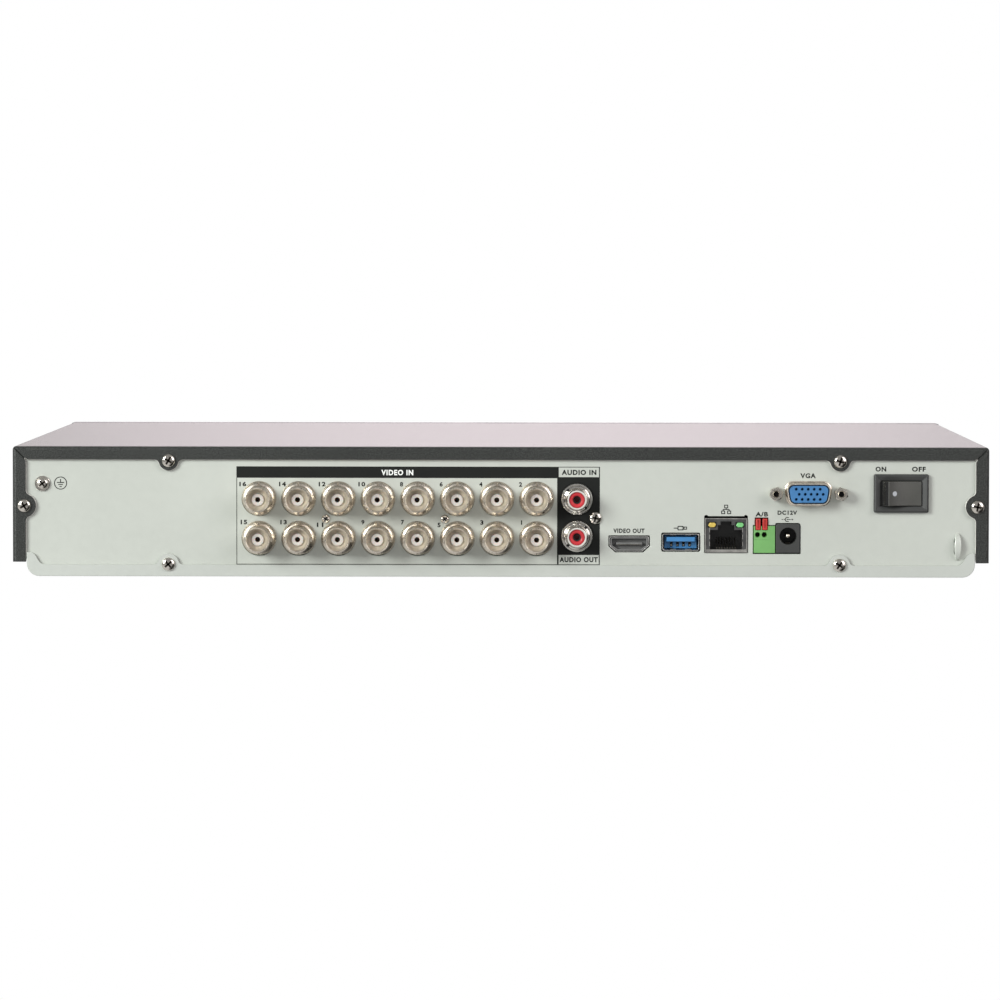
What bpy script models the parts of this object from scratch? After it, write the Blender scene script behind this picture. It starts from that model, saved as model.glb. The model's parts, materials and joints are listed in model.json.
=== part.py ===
"""A sixteen-channel video recorder in a flat sheet-metal case, as an assembly of separate pieces.

Metres, +Z up. The connector panel faces -Y and the plastic front faces +Y. The origin is on the
surface that the feet stand on, under the middle of the whole recorder, jacks included. "Left" and
"right" are as seen from behind, by someone who faces the connector panel.
"""

import math

import bmesh
import bpy
from mathutils import Matrix, Vector

MM = 0.001
GAP = 0.3 * MM  # between pieces that lie against each other
SEAT = 0.05 * MM  # between a screw's head and the sheet under it

# The driving dimensions.
WIDTH = 375 * MM
CASE_DEPTH = 275 * MM  # from the cover's rear flange to the front's face
CASE_HEIGHT = 50 * MM
FOOT_HEIGHT = 3 * MM
JACK_REACH = 11 * MM  # of the video jacks, beyond the case
SHEET = 1 * MM
COVER_FLANGE = 5.1 * MM
SKIRT_GAP = 5.5 * MM  # from the case's underside up to the cover's lower edge
TRAY_FLANGE = 4.45 * MM
FRONT_DEPTH = 14 * MM  # of the moulded front
JACK_PITCH = 15.24 * MM

# Levels that follow from them.
REAR = JACK_REACH - (CASE_DEPTH + JACK_REACH) / 2
FRONT = REAR + CASE_DEPTH
BASE = FOOT_HEIGHT
TOP = BASE + CASE_HEIGHT
SKIRT = BASE + SKIRT_GAP
PANEL_FACE = REAR + SHEET + GAP
PANEL_BACK = PANEL_FACE + SHEET
INSIDE = PANEL_BACK + GAP  # where the connectors' bodies begin
SHEET_FRONT = FRONT - FRONT_DEPTH - GAP  # where cover and tray end
TRAY_HALF = WIDTH / 2 - COVER_FLANGE - GAP
FLOOR = BASE + SHEET
BOARD_TOP = BASE + 9 * MM
BOARD_SHEET = 1.6 * MM
ON_BOARD = BOARD_TOP + GAP


def mm(*sizes):
    return tuple(size * MM for size in sizes)


# Places on the connector panel, as (x, z).
COVER_SCREWS = {
    "top_left": mm(-127.5, 47.5),
    "top_right": mm(130.3, 47.5),
    "side_left": mm(-183.0, 30.1),
    "side_right": mm(183.0, 30.1),
}
TRAY_SCREWS = {"left": mm(-127.6, 7.7), "right": mm(130.1, 7.7)}
GROUND = mm(-176.0, 38.6)
JACK_ROWS = mm(17.65, 32.9)
JACK_MIDDLE = -39.5 * MM
JACK_SCREW_OFFSET = -4.8 * MM
JACK_SCREW_Z = 25.1 * MM
AUDIO_X = 29.3 * MM
AUDIO_ROWS = {"in": 32.9 * MM, "out": 18.6 * MM}
AUDIO_SCREW = mm(36.4, 25.6)
HD_VIDEO = mm(49.4, 15.7)
USB = mm(69.2, 16.4)
LAN = mm(86.6, 19.2)
TERMINAL_X = 101.3 * MM
LEVERS = {"a": 98.9 * MM, "b": 101.5 * MM}
POWER = mm(110.4, 18.8)
VGA = mm(118.1, 35.1)
VGA_SCREW_SPACING = 25 * MM
SWITCH = mm(153.7, 35.3)
TIE_LOOP = mm(175.8, 14.8)

# The rocker switch.
ROCKER_RADIUS = 8.6 * MM
ROCKER_PLAY = 0.25 * MM
ROCKER_TILT = math.radians(14)
ROCKER_TIP = math.radians(48.3)  # from the rocker's axis of symmetry to each end of its face
SWITCH_BEZEL = mm(21.1, 14.8, 2.0)
SWITCH_OPENING = 9.8 * MM
SWITCH_FACE = PANEL_FACE - SWITCH_BEZEL[2]
ROCKER_PIVOT = (SWITCH[0], SWITCH_FACE + 4.0 * MM, SWITCH[1])

# The fan, on the tray's left wall.
FAN_SIZE = 40 * MM
FAN_THICKNESS = 10 * MM
FAN_X = -TRAY_HALF + SHEET + GAP
FAN_CENTRE = mm(-30, 26.5)  # (y, z)

# The drives lie side by side behind the front. The second bay is empty.
DRIVE = mm(147, 101.6, 26.1)
DRIVE_Y = 22 * MM
DRIVE_Z = FLOOR + 2.3 * MM
DRIVE_X = -160 * MM

# The front's window, and the port beside it.
WINDOW = mm(60, 172, 30, 44)  # x and z limits
FRONT_PORT = mm(-150, 18)


# ---- Outlines, as lists of points in the plane ----


def arc(x, y, radius, start, end, steps):
    """Points on an arc from angle start to angle end, in degrees."""
    angles = [math.radians(start + (end - start) * i / steps) for i in range(steps + 1)]
    return [(x + radius * math.cos(a), y + radius * math.sin(a)) for a in angles]


def circle(x, y, radius, sides=12):
    return arc(x, y, radius, 0, 360, sides)[:-1]


def rectangle(x, y, width, height):
    return [
        (x - width / 2, y - height / 2),
        (x + width / 2, y - height / 2),
        (x + width / 2, y + height / 2),
        (x - width / 2, y + height / 2),
    ]


def rounded(corners, steps=3):
    """The outline through corners (x, y, radius), each rounded by an arc of its radius."""
    outline = []
    for i, (x, y, radius) in enumerate(corners):
        corner = Vector((x, y))
        if not radius:
            outline.append((x, y))
            continue
        back = (Vector(corners[i - 1][:2]) - corner).normalized()
        ahead = (Vector(corners[(i + 1) % len(corners)][:2]) - corner).normalized()
        half = back.angle(ahead) / 2
        centre = corner + (back + ahead).normalized() * radius / math.sin(half)
        reach = radius / math.tan(half)
        first = corner + back * reach - centre
        last = corner + ahead * reach - centre
        start = math.degrees(math.atan2(first.y, first.x))
        turn = math.degrees(math.atan2(last.y, last.x)) - start
        turn = (turn + 180) % 360 - 180
        outline += arc(centre.x, centre.y, radius, start, start + turn, steps)
    return outline


def rounded_rectangle(x, y, width, height, radius, steps=3):
    return rounded([(*corner, radius) for corner in rectangle(x, y, width, height)], steps)


def tab(along, edge, centre, radius=4 * MM, fillet=2 * MM):
    """Points (u, v), in order of u, where a round tab hangs below the line v = edge.
    The tab's centre is (along, centre), and fillets lead from the line into it."""
    drop = edge - fillet - centre
    reach = math.sqrt((radius + fillet) ** 2 - drop**2)
    touch = math.degrees(math.atan2(drop, reach))
    return (
        arc(along - reach, edge - fillet, fillet, 90, -touch, 3)
        + arc(along, centre, radius, 180 - touch, 360 + touch, 10)
        + arc(along + reach, edge - fillet, fillet, 180 + touch, 90, 3)
    )


# ---- Shapes: helper objects that become pieces, tools and cutters ----


def collection(name):
    made = bpy.data.collections.new(name)
    bpy.context.scene.collection.children.link(made)
    return made


def helper(mesh, name="helper"):
    """An object in the cutters' collection, which is left out of the model."""
    made = bpy.data.objects.new(name, mesh)
    made.hide_render = True
    made.display_type = "WIRE"
    cutters.objects.link(made)
    return made


def from_bmesh(shape):
    mesh = bpy.data.meshes.new("shape")
    shape.to_mesh(mesh)
    shape.free()
    return helper(mesh)


def blocks(*spans):
    """One helper holding a box for each (lowest corner, highest corner)."""
    shape = bmesh.new()
    for low, high in spans:
        low, high = Vector(low), Vector(high)
        place = Matrix.Translation((low + high) / 2) @ Matrix.Diagonal((*(high - low), 1))
        bmesh.ops.create_cube(shape, size=1, matrix=place)
    return from_bmesh(shape)


AXES = {
    "X": Matrix.Rotation(math.pi / 2, 4, "Y"),
    "Y": Matrix.Rotation(math.pi / 2, 4, "X"),
    "Z": Matrix.Identity(4),
}


def rods(axis, *spans, sides=12):
    """One helper holding a cylinder for each (start point, end point, radius), along one axis."""
    shape = bmesh.new()
    for start, end, radius in spans:
        start, end = Vector(start), Vector(end)
        bmesh.ops.create_cone(
            shape,
            cap_ends=True,
            segments=sides,
            radius1=radius,
            radius2=radius,
            depth=(end - start).length,
            matrix=Matrix.Translation((start + end) / 2) @ AXES[axis],
        )
    return from_bmesh(shape)


def evaluated(obj):
    """The object's mesh with its modifiers applied, welded, in world space."""
    bpy.context.view_layer.update()
    graph = bpy.context.evaluated_depsgraph_get()
    mesh = bpy.data.meshes.new_from_object(obj.evaluated_get(graph))
    mesh.transform(obj.matrix_world)
    return mesh


def welded(mesh):
    shape = bmesh.new()
    shape.from_mesh(mesh)
    bmesh.ops.remove_doubles(shape, verts=shape.verts, dist=0.001 * MM)
    bmesh.ops.recalc_face_normals(shape, faces=shape.faces)
    shape.to_mesh(mesh)
    shape.free()
    return mesh


def baked(obj):
    """A helper with obj's modifiers applied, in place of obj."""
    mesh = evaluated(obj)
    bpy.data.objects.remove(obj)
    return helper(mesh)


# A plate's outline lies in one of these planes, and its thickness runs along the third axis.
PLANES = {
    "XY": Matrix.Identity(4),
    "XZ": Matrix.Rotation(math.pi / 2, 4, "X"),
    "YZ": Matrix.Rotation(math.pi / 2, 4, "Z") @ Matrix.Rotation(math.pi / 2, 4, "X"),
}


def plate(plane, low, high, outline, *holes):
    """A flat plate, from low to high along the axis that its plane leaves."""
    curve = bpy.data.curves.new("outline", "CURVE")
    curve.dimensions = "2D"
    curve.fill_mode = "BOTH"
    curve.extrude = (high - low) / 2
    for loop in (outline, *holes):
        spline = curve.splines.new("POLY")
        spline.points.add(len(loop) - 1)
        for point, (x, y) in zip(spline.points, loop):
            point.co = (x, y, 0, 1)
        spline.use_cyclic_u = True
    made = bpy.data.objects.new("outline", curve)
    cutters.objects.link(made)
    made.matrix_world = PLANES[plane]
    made.location["XYZ".index(({"X", "Y", "Z"} - set(plane)).pop())] = (low + high) / 2
    mesh = welded(evaluated(made))
    bpy.data.objects.remove(made)
    return helper(mesh)


def turned(profile, sides=16):
    """A turned shape about the Y axis. Its profile is (radius, distance out, which is along -Y),
    and runs down its outer side from its outer end to its inner end."""
    closed = profile[0][0] > 0
    mesh = bpy.data.meshes.new("profile")
    count = len(profile)
    edges = [(i, (i + 1) % count) for i in range(count if closed else count - 1)]
    mesh.from_pydata([(radius, 0, out) for radius, out in profile], edges, [])
    made = helper(mesh)
    screw = made.modifiers.new("turn", "SCREW")
    screw.steps = screw.render_steps = sides
    screw.use_merge_vertices = True
    screw.merge_threshold = 0.001 * MM
    made.rotation_euler.x = math.pi / 2
    return baked(made)


def combined(operation, target, tools, solver):
    """target with each tool cut out of it, or joined to it. The tools are used up."""
    for tool in tools:
        boolean = target.modifiers.new(operation, "BOOLEAN")
        boolean.operation = operation
        boolean.solver = solver
        boolean.object = tool
    made = baked(target)
    for tool in tools:
        bpy.data.objects.remove(tool)
    return made


def cut(target, *tools, solver="EXACT"):
    return combined("DIFFERENCE", target, tools, solver)


def joined(target, *tools, solver="EXACT"):
    return combined("UNION", target, tools, solver)


# On the wide sheets, with their many holes in rows, the exact solver leaves open edges.
FOR_SHEETS = {"solver": "MANIFOLD"}


def tube(route, radius):
    """A round lead along a smooth curve through the route's own points."""
    curve = bpy.data.curves.new("lead", "CURVE")
    curve.dimensions = "3D"
    curve.bevel_depth = radius
    curve.bevel_resolution = 2
    curve.use_fill_caps = True
    points = smooth(route)
    spline = curve.splines.new("POLY")
    spline.points.add(len(points) - 1)
    for point, place in zip(spline.points, points):
        point.co = (*place, 1)
    made = bpy.data.objects.new("lead", curve)
    cutters.objects.link(made)
    mesh = welded(evaluated(made))
    bpy.data.objects.remove(made)
    return helper(mesh)


def smooth(route, steps=4):
    """Catmull-Rom points through a route's own points."""
    given = [Vector(point) for point in route]
    given = [2 * given[0] - given[1], *given, 2 * given[-1] - given[-2]]
    points = []
    for a, b, c, d in zip(given, given[1:], given[2:], given[3:]):
        for i in range(steps):
            t = i / steps
            points.append(
                (2 * b + (c - a) * t + (2 * a - 5 * b + 4 * c - d) * t**2 + (3 * b - a - 3 * c + d) * t**3)
                / 2
            )
    return [*points, given[-2]]


def material(name, colour, roughness, metallic=0.0):
    made = bpy.data.materials.new(name)
    made.use_nodes = True
    shader = made.node_tree.nodes["Principled BSDF"]
    shader.inputs["Base Color"].default_value = (*colour, 1)
    shader.inputs["Roughness"].default_value = roughness
    shader.inputs["Metallic"].default_value = metallic
    return made


def piece(name, shape, finish, places=None, origin=(0, 0, 0)):
    """A finished sub-part from a helper, which is used up. The object's own origin is at origin.
    With places, {suffix: location}, it is repeated as one object for each, which share its mesh."""
    mesh = shape.data
    mesh.transform(Matrix.Translation(-Vector(origin)))
    mesh.name = name
    mesh.materials.append(finish)
    mesh.shade_smooth()
    mesh.set_sharp_from_angle(angle=math.radians(30))
    bpy.data.objects.remove(shape)
    for suffix, location in (places or {"": origin}).items():
        made = bpy.data.objects.new(f"{name}_{suffix}" if suffix else name, mesh)
        made.location = location
        parts.objects.link(made)


# ---- The case ----


def top_cover():
    """The black lid: top, two sides, and a rear flange with mitred corners and screw tabs."""
    half = WIDTH / 2
    bend = 1.8 * MM
    skin = plate(
        "XZ",
        REAR,
        SHEET_FRONT,
        rounded(
            [
                (-half, SKIRT, 0),
                (-half, TOP, bend),
                (half, TOP, bend),
                (half, SKIRT, 0),
                (half - SHEET, SKIRT, 0),
                (half - SHEET, TOP - SHEET, bend - SHEET),
                (-half + SHEET, TOP - SHEET, bend - SHEET),
                (-half + SHEET, SKIRT, 0),
            ]
        ),
    )
    buried = 0.4 * MM  # the flange's outer edge lies this deep in the skin
    step = 0.1 * MM
    edge = TOP - COVER_FLANGE
    side = half - COVER_FLANGE
    slit, reach = mm(0.35, 3.8)  # of the mitre, along x or z
    mitre = [
        (side, edge - slit),
        (side + reach, edge - slit + reach),
        (side - slit + reach, edge + reach),
        (side - slit, edge),
    ]
    left_side = [(-x, z) for z, x in tab(COVER_SCREWS["side_left"][1], side, -COVER_SCREWS["side_left"][0])]
    right_side = [(x, z) for z, x in tab(COVER_SCREWS["side_right"][1], side, COVER_SCREWS["side_right"][0])]
    along_top = [
        point
        for x, z in (COVER_SCREWS["top_left"], COVER_SCREWS["top_right"])
        for point in tab(x, edge, z)
    ]
    outline = [
        (-half + buried, SKIRT + step),
        (-half + buried, TOP - bend),
        (-half + bend, TOP - buried),
        (half - bend, TOP - buried),
        (half - buried, TOP - bend),
        (half - buried, SKIRT + step),
        (side, SKIRT + step),
        *right_side,
        *mitre,
        *reversed(along_top),
        *[(-x, z) for x, z in reversed(mitre)],
        *reversed(left_side),
        (-side, SKIRT + step),
    ]
    flange = plate("XZ", REAR + step, REAR + step + SHEET, outline)
    holes = rods(
        "Y",
        *[((x, REAR - MM, z), (x, REAR + 2 * MM, z), 1.7 * MM) for x, z in COVER_SCREWS.values()],
    )
    slots = 10
    pitch, slot = mm(7.0, 2.6)
    first = FAN_CENTRE[0] - pitch * (slots - 1) / 2
    vents = blocks(
        *[
            ((-half - MM, first + pitch * i - slot / 2, 16 * MM), (half + MM, first + pitch * i + slot / 2, 37 * MM))
            for i in range(slots)
        ]
    )
    cover = cut(joined(skin, flange, **FOR_SHEETS), holes, vents, **FOR_SHEETS)
    piece("top_cover", cover, COVER_BLACK)


def bottom_tray():
    """The base: floor, side walls with lips, rear flange with screw tabs, front wall and standoffs."""
    half = TRAY_HALF
    bend = 4.2 * MM
    wall_top = TOP - SHEET - GAP
    lip = 8 * MM
    side_start = INSIDE + 5.5 * MM  # clear of the screws' ends
    low_top = SKIRT - GAP

    skin = plate(
        "XZ",
        REAR + 0.1 * MM,
        SHEET_FRONT - 0.1 * MM,
        rounded(
            [
                (-half, wall_top, 0),
                (-half, BASE, bend),
                (half, BASE, bend),
                (half, wall_top, 0),
                (half - lip, wall_top, 0),
                (half - lip, wall_top - SHEET, 0),
                (half - SHEET, wall_top - SHEET, 0),
                (half - SHEET, FLOOR, bend - SHEET),
                (-half + SHEET, FLOOR, bend - SHEET),
                (-half + SHEET, wall_top - SHEET, 0),
                (-half + lip, wall_top - SHEET, 0),
                (-half + lip, wall_top, 0),
            ]
        ),
    )
    behind_flange = blocks(((-half - MM, REAR - MM, low_top), (half + MM, side_start, TOP)))
    flange_top = BASE + TRAY_FLANGE
    ends = 12.2 * MM  # how high the flange sweeps at its ends
    along = []
    for x, z in TRAY_SCREWS.values():
        along += [(u, 2 * flange_top - v) for u, v in tab(x, flange_top, 2 * flange_top - z)]
    buried = 0.2 * MM
    flange = plate(
        "XZ",
        REAR,
        REAR + SHEET,
        rounded(
            [
                (-half + buried, BASE + buried, bend - buried),
                (half - buried, BASE + buried, bend - buried),
                (half - buried, ends, 0.8 * MM),
                (half - 3.2 * MM, ends, 2.2 * MM),
                (half - 5 * MM, flange_top, 2.2 * MM),
                *[(u, v, 0) for u, v in reversed(along)],
                (-half + 5 * MM, flange_top, 2.2 * MM),
                (-half + 3.2 * MM, ends, 2.2 * MM),
                (-half + buried, ends, 0.8 * MM),
            ]
        ),
    )
    front_wall = plate(
        "XZ",
        SHEET_FRONT - SHEET,
        SHEET_FRONT,
        rounded(
            [
                (-half + 0.5 * MM, BASE + 0.5 * MM, bend - 0.5 * MM),
                (half - 0.5 * MM, BASE + 0.5 * MM, bend - 0.5 * MM),
                (half - 0.5 * MM, 47 * MM, 0),
                (-half + 0.5 * MM, 47 * MM, 0),
            ]
        ),
        rectangle((WINDOW[0] + WINDOW[1]) / 2, 37 * MM, 100 * MM, 10 * MM),
        rectangle(*FRONT_PORT, 16 * MM, 9 * MM),
    )
    standoffs = rods(
        "Z",
        *[
            ((x * MM, y * MM, FLOOR - 0.5 * MM), (x * MM, y * MM, BOARD_TOP - BOARD_SHEET - GAP), 3 * MM)
            for x in (-150, 0, 155)
            for y in (-105, 0)
        ],
        sides=8,
    )
    drive_bosses = rods(
        "Z",
        *[
            ((DRIVE_X + x * MM, DRIVE_Y + y * MM, FLOOR - 0.5 * MM), (DRIVE_X + x * MM, DRIVE_Y + y * MM, DRIVE_Z - GAP), 4 * MM)
            for x in (30, 117, 184, 271)
            for y in (10, 92)
        ],
        sides=8,
    )
    screw_holes = rods(
        "Y",
        *[((x, REAR - MM, z), (x, REAR + 2 * MM, z), 1.7 * MM) for x, z in TRAY_SCREWS.values()],
    )
    fan_hole = rods(
        "X",
        ((-half - MM, *FAN_CENTRE), (-half + 2 * MM, *FAN_CENTRE), FAN_SIZE / 2 - 1.5 * MM),
        sides=20,
    )
    intake = blocks((mm(180, -64, 16), mm(184, 4, 37)))
    floor_slots = blocks(
        *[(mm(x, y, 2), mm(x + 3, y + 30, 5)) for x in range(-120, 130, 40) for y in (62,)]
    )
    skin = cut(skin, behind_flange, **FOR_SHEETS)
    base = joined(skin, flange, front_wall, standoffs, drive_bosses, **FOR_SHEETS)
    base = cut(base, screw_holes, fan_hole, intake, floor_slots, **FOR_SHEETS)
    piece("bottom_tray", base, BARE_STEEL)


def d_outline(x, z, width, height, radius, slope=math.radians(10)):
    """The D of a D-shaped connector: its sides lean in towards the bottom."""
    lean = height / 2 * math.tan(slope)
    return rounded(
        [
            (x - width / 2 + lean, z - height / 2, radius),
            (x + width / 2 - lean, z - height / 2, radius),
            (x + width / 2 + lean, z + height / 2, radius),
            (x - width / 2 - lean, z + height / 2, radius),
        ]
    )


def hd_outline(x, z, width, height, radius=0.5 * MM):
    """A flat-topped port whose lower corners are cut off."""
    shoulder = z - 0.14 * height
    foot = 0.68 * width / 2
    return rounded(
        [
            (x - foot, z - height / 2, radius),
            (x + foot, z - height / 2, radius),
            (x + width / 2, shoulder, radius),
            (x + width / 2, z + height / 2, radius),
            (x - width / 2, z + height / 2, radius),
            (x - width / 2, shoulder, radius),
        ],
        2,
    )


def jack_columns():
    return [JACK_MIDDLE + JACK_PITCH * (i - 3.5) for i in range(8)]


def rear_panel():
    """The connector panel, with a hole for everything that comes through it and a tie loop."""
    wide = WIDTH / 2 - SHEET - GAP
    narrow = TRAY_HALF - 6 * MM
    outline = rounded(
        [
            (-narrow, FLOOR + GAP, 0),
            (narrow, FLOOR + GAP, 0),
            (narrow, SKIRT + MM, 0),
            (wide, SKIRT + MM, 0),
            (wide, TOP - SHEET - GAP, 0.8 * MM),
            (-wide, TOP - SHEET - GAP, 0.8 * MM),
            (-wide, SKIRT + MM, 0),
            (-narrow, SKIRT + MM, 0),
        ],
        2,
    )
    jack_holes = [circle(x, z, 6.65 * MM) for x in jack_columns() for z in JACK_ROWS]
    audio_holes = [circle(AUDIO_X, z, 6.5 * MM) for z in AUDIO_ROWS.values()]
    screw_places = [*COVER_SCREWS.values(), *TRAY_SCREWS.values(), GROUND]
    screw_places += [(VGA[0] + side * VGA_SCREW_SPACING / 2, VGA[1]) for side in (-1, 1)]
    screw_holes = [circle(x, z, 1.7 * MM, 12) for x, z in screw_places]
    small = [(jack_columns()[i] + JACK_SCREW_OFFSET, JACK_SCREW_Z) for i in (2, 5)] + [AUDIO_SCREW]
    small_holes = [circle(x, z, 1.35 * MM, 10) for x, z in small]
    left, right, low = mm(96.9, 115.2, 11.9)
    terminal_and_power = [
        (left, low),
        (right, low),
        (right, 23.8 * MM),
        (105.5 * MM, 23.8 * MM),
        (105.5 * MM, 23.0 * MM),
        (102.8 * MM, 23.0 * MM),
        (102.8 * MM, 25.9 * MM),
        (97.6 * MM, 25.9 * MM),
        (97.6 * MM, 23.0 * MM),
        (left, 23.0 * MM),
    ]
    loop_x, loop_z = TIE_LOOP
    sheet = plate(
        "XZ",
        PANEL_FACE,
        PANEL_BACK,
        outline,
        *jack_holes,
        *audio_holes,
        *screw_holes,
        *small_holes,
        hd_outline(*HD_VIDEO, 15.9 * MM, 6.5 * MM),
        rounded_rectangle(*USB, 14.9 * MM, 7.3 * MM, 0.6 * MM, 2),
        rectangle(*LAN, 17.2 * MM, 14.7 * MM),
        terminal_and_power,
        d_outline(*VGA, 17.6 * MM, 9.4 * MM, 3 * MM),
        rectangle(*SWITCH, 19.6 * MM, 13.4 * MM),
        rectangle(loop_x, loop_z, 4.2 * MM, 7.4 * MM),
    )
    rise, reach, thick = mm(2.6, 5.4, 1.0)
    face = PANEL_FACE + 0.4 * MM
    loop = plate(
        "YZ",
        loop_x - 1.35 * MM,
        loop_x + 1.35 * MM,
        rounded(
            [
                (face, loop_z - reach, 0),
                (PANEL_FACE - rise, loop_z - reach + 2 * MM, 1.2 * MM),
                (PANEL_FACE - rise, loop_z + reach - 2 * MM, 1.2 * MM),
                (face, loop_z + reach, 0),
                (face, loop_z + reach - 2 * thick, 0),
                (PANEL_FACE - rise + thick, loop_z + reach - 3 * MM, 0.6 * MM),
                (PANEL_FACE - rise + thick, loop_z - reach + 3 * MM, 0.6 * MM),
                (face, loop_z - reach + 2 * thick, 0),
            ]
        ),
    )
    piece("rear_panel", joined(sheet, loop, **FOR_SHEETS), PANEL_GREY)


def front():
    """The moulded front, a shell that is open behind, and the dark window let into it."""
    wall = 2 * MM
    back = FRONT - FRONT_DEPTH
    shell = plate(
        "YZ",
        -WIDTH / 2,
        WIDTH / 2,
        rounded(
            [
                (back, BASE, 0),
                (FRONT - 5 * MM, BASE, 1 * MM),
                (FRONT, BASE + 7 * MM, 2 * MM),
                (FRONT, BASE + 22.6 * MM, 0),
                (FRONT - 0.8 * MM, BASE + 23.1 * MM, 0),
                (FRONT - 0.8 * MM, BASE + 23.9 * MM, 0),
                (FRONT, BASE + 24.4 * MM, 0),
                (FRONT, TOP - 5 * MM, 2 * MM),
                (FRONT - 3 * MM, TOP, 1 * MM),
                (back, TOP, 0),
            ]
        ),
    )
    hollow = blocks(
        (
            (-WIDTH / 2 + wall, back - MM, BASE + wall + 3 * MM),
            (WIDTH / 2 - wall, FRONT - 3 * MM, TOP - wall - 2 * MM),
        )
    )
    x0, x1, z0, z1 = WINDOW
    window_hole = blocks(((x0, FRONT - 6 * MM, z0), (x1, FRONT + MM, z1)))
    port_x, port_z = FRONT_PORT
    width, height = mm(7.5, 3.8)
    port_hole = blocks(
        ((port_x - width, FRONT - 6 * MM, port_z - height), (port_x + width, FRONT + MM, port_z + height))
    )
    piece("front_bezel", cut(shell, hollow, window_hole, port_hole), FRONT_BLACK)
    pane = blocks(
        ((x0 + GAP, FRONT - 2.6 * MM, z0 + GAP), (x1 - GAP, FRONT - 0.3 * MM, z1 - GAP)),
    )
    piece("front_window", pane, SMOKED)


def feet():
    foot = bmesh.new()
    bmesh.ops.create_cone(
        foot,
        cap_ends=True,
        segments=20,
        radius1=8.5 * MM,
        radius2=9.5 * MM,
        depth=FOOT_HEIGHT - GAP,
        matrix=Matrix.Translation((0, 0, (FOOT_HEIGHT - GAP) / 2)),
    )
    places = {
        f"{end}_{side}": (x * MM, y * MM, 0)
        for end, y in (("rear", -72), ("front", 108))
        for side, x in (("left", -160), ("right", 160))
    }
    piece("foot", from_bmesh(foot), RUBBER, places)


# ---- Fasteners ----


def screw_shape(head, shank, length, washer=None):
    """A pan-head screw with a cross recess, whose seat is at the origin."""
    rise = 0.8 * head
    start = []
    seat = 0.0
    if washer:
        seat = 0.7 * MM
        start = [(washer, seat), (washer, 0)]
    profile = [
        (0, seat + rise),
        (0.55 * head, seat + 0.92 * rise),
        (0.88 * head, seat + 0.55 * rise),
        (head, seat + 0.15 * rise),
        (head, seat),
        *start,
        (shank, 0),
        (shank, -length),
        (0, -length),
    ]
    arm, half = 0.62 * head, 0.17 * head
    depth = seat + 0.45 * rise
    out = seat + 2 * rise
    cross = blocks(((-arm, -out, -half), (arm, -depth, half)))
    bar = blocks(((-half, -out, -arm), (half, -depth - 0.02 * MM, arm)))
    return cut(turned(profile, 10), cross, bar)


def on_panel(x, z, y=PANEL_FACE - SEAT):
    return (x, y, z)


def fasteners():
    shank, length = mm(1.35, 5.8)
    shape = screw_shape(2.35 * MM, shank, length)
    mesh_places = {f"{where}": on_panel(x, z, REAR - SEAT) for where, (x, z) in COVER_SCREWS.items()}
    mesh_places |= {f"tray_{where}": on_panel(x, z, REAR - SEAT) for where, (x, z) in TRAY_SCREWS.items()}
    piece("case_screw", shape, SCREW_STEEL, mesh_places)
    piece("ground_screw", screw_shape(2.2 * MM, shank, length, 2.95 * MM), SCREW_STEEL, {"": on_panel(*GROUND)})
    jack_places = {
        f"{i + 1}": on_panel(jack_columns()[column] + JACK_SCREW_OFFSET, JACK_SCREW_Z)
        for i, column in enumerate((2, 5))
    }
    piece("video_jack_screw", screw_shape(1.65 * MM, 0.9 * MM, 6 * MM), SCREW_STEEL, jack_places)
    piece("audio_jack_screw", screw_shape(2.2 * MM, 0.95 * MM, 6 * MM), SCREW_STEEL, {"": on_panel(*AUDIO_SCREW)})


# ---- Connectors ----


def video_jacks():
    """Eight die-cast bodies, each with two bayonet jacks, and the moulding behind them whose
    sixteen posts stand in the middle of the jacks."""
    bottom = ON_BOARD
    top = JACK_ROWS[1] + 7.3 * MM
    depth = 11 * MM
    half = JACK_PITCH / 2 - GAP
    middle = (JACK_ROWS[0] + JACK_ROWS[1]) / 2
    body = blocks(((-half, INSIDE, bottom), (half, INSIDE + depth, top)))
    mouth = JACK_REACH - REAR
    ring = 2.2 * MM - PANEL_FACE
    root = -INSIDE - 0.6 * MM
    profile = [
        (0, mouth - 9.5 * MM),
        (4.05 * MM, mouth - 9.5 * MM),
        (4.05 * MM, mouth),
        (4.85 * MM, mouth),
        (4.85 * MM, ring),
        (6.35 * MM, ring),
        (6.35 * MM, root),
        (0, root),
    ]
    for z in JACK_ROWS:
        barrel = turned(profile, 14)
        barrel.data.transform(Matrix.Translation((0, 0, z)))
        lug_y = 5.2 * MM - mouth
        lugs = rods(
            "X",
            *[((side * 4.4 * MM, lug_y, z), (side * 5.5 * MM, lug_y, z), 0.95 * MM) for side in (-1, 1)],
            sides=8,
        )
        through = rods("Y", ((0, -mouth, z), (0, INSIDE + depth + MM, z), 2.75 * MM), sides=10)
        body = cut(joined(body, barrel, lugs), through)
    tapped = rods(
        "Y",
        ((JACK_SCREW_OFFSET, INSIDE - MM, JACK_SCREW_Z), (JACK_SCREW_OFFSET, INSIDE + 7 * MM, JACK_SCREW_Z), 1.25 * MM),
        sides=8,
    )
    places = {f"{2 * (8 - i) - 1:02d}_{2 * (8 - i):02d}": (x, 0, 0) for i, x in enumerate(jack_columns())}
    piece("video_jacks", cut(body, tapped), NICKEL, places)

    back = INSIDE + depth + GAP
    left, right = jack_columns()[0] - half, jack_columns()[-1] + half
    moulding = blocks(((left, back, bottom), (right, back + 6 * MM, top)))
    posts = rods(
        "Y",
        *[((x, -mouth + 2.6 * MM, z), (x, back + MM, z), 2.3 * MM) for x in jack_columns() for z in JACK_ROWS],
        sides=10,
    )
    piece("video_jack_insulator", joined(moulding, posts), WHITE_PLASTIC)


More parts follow.
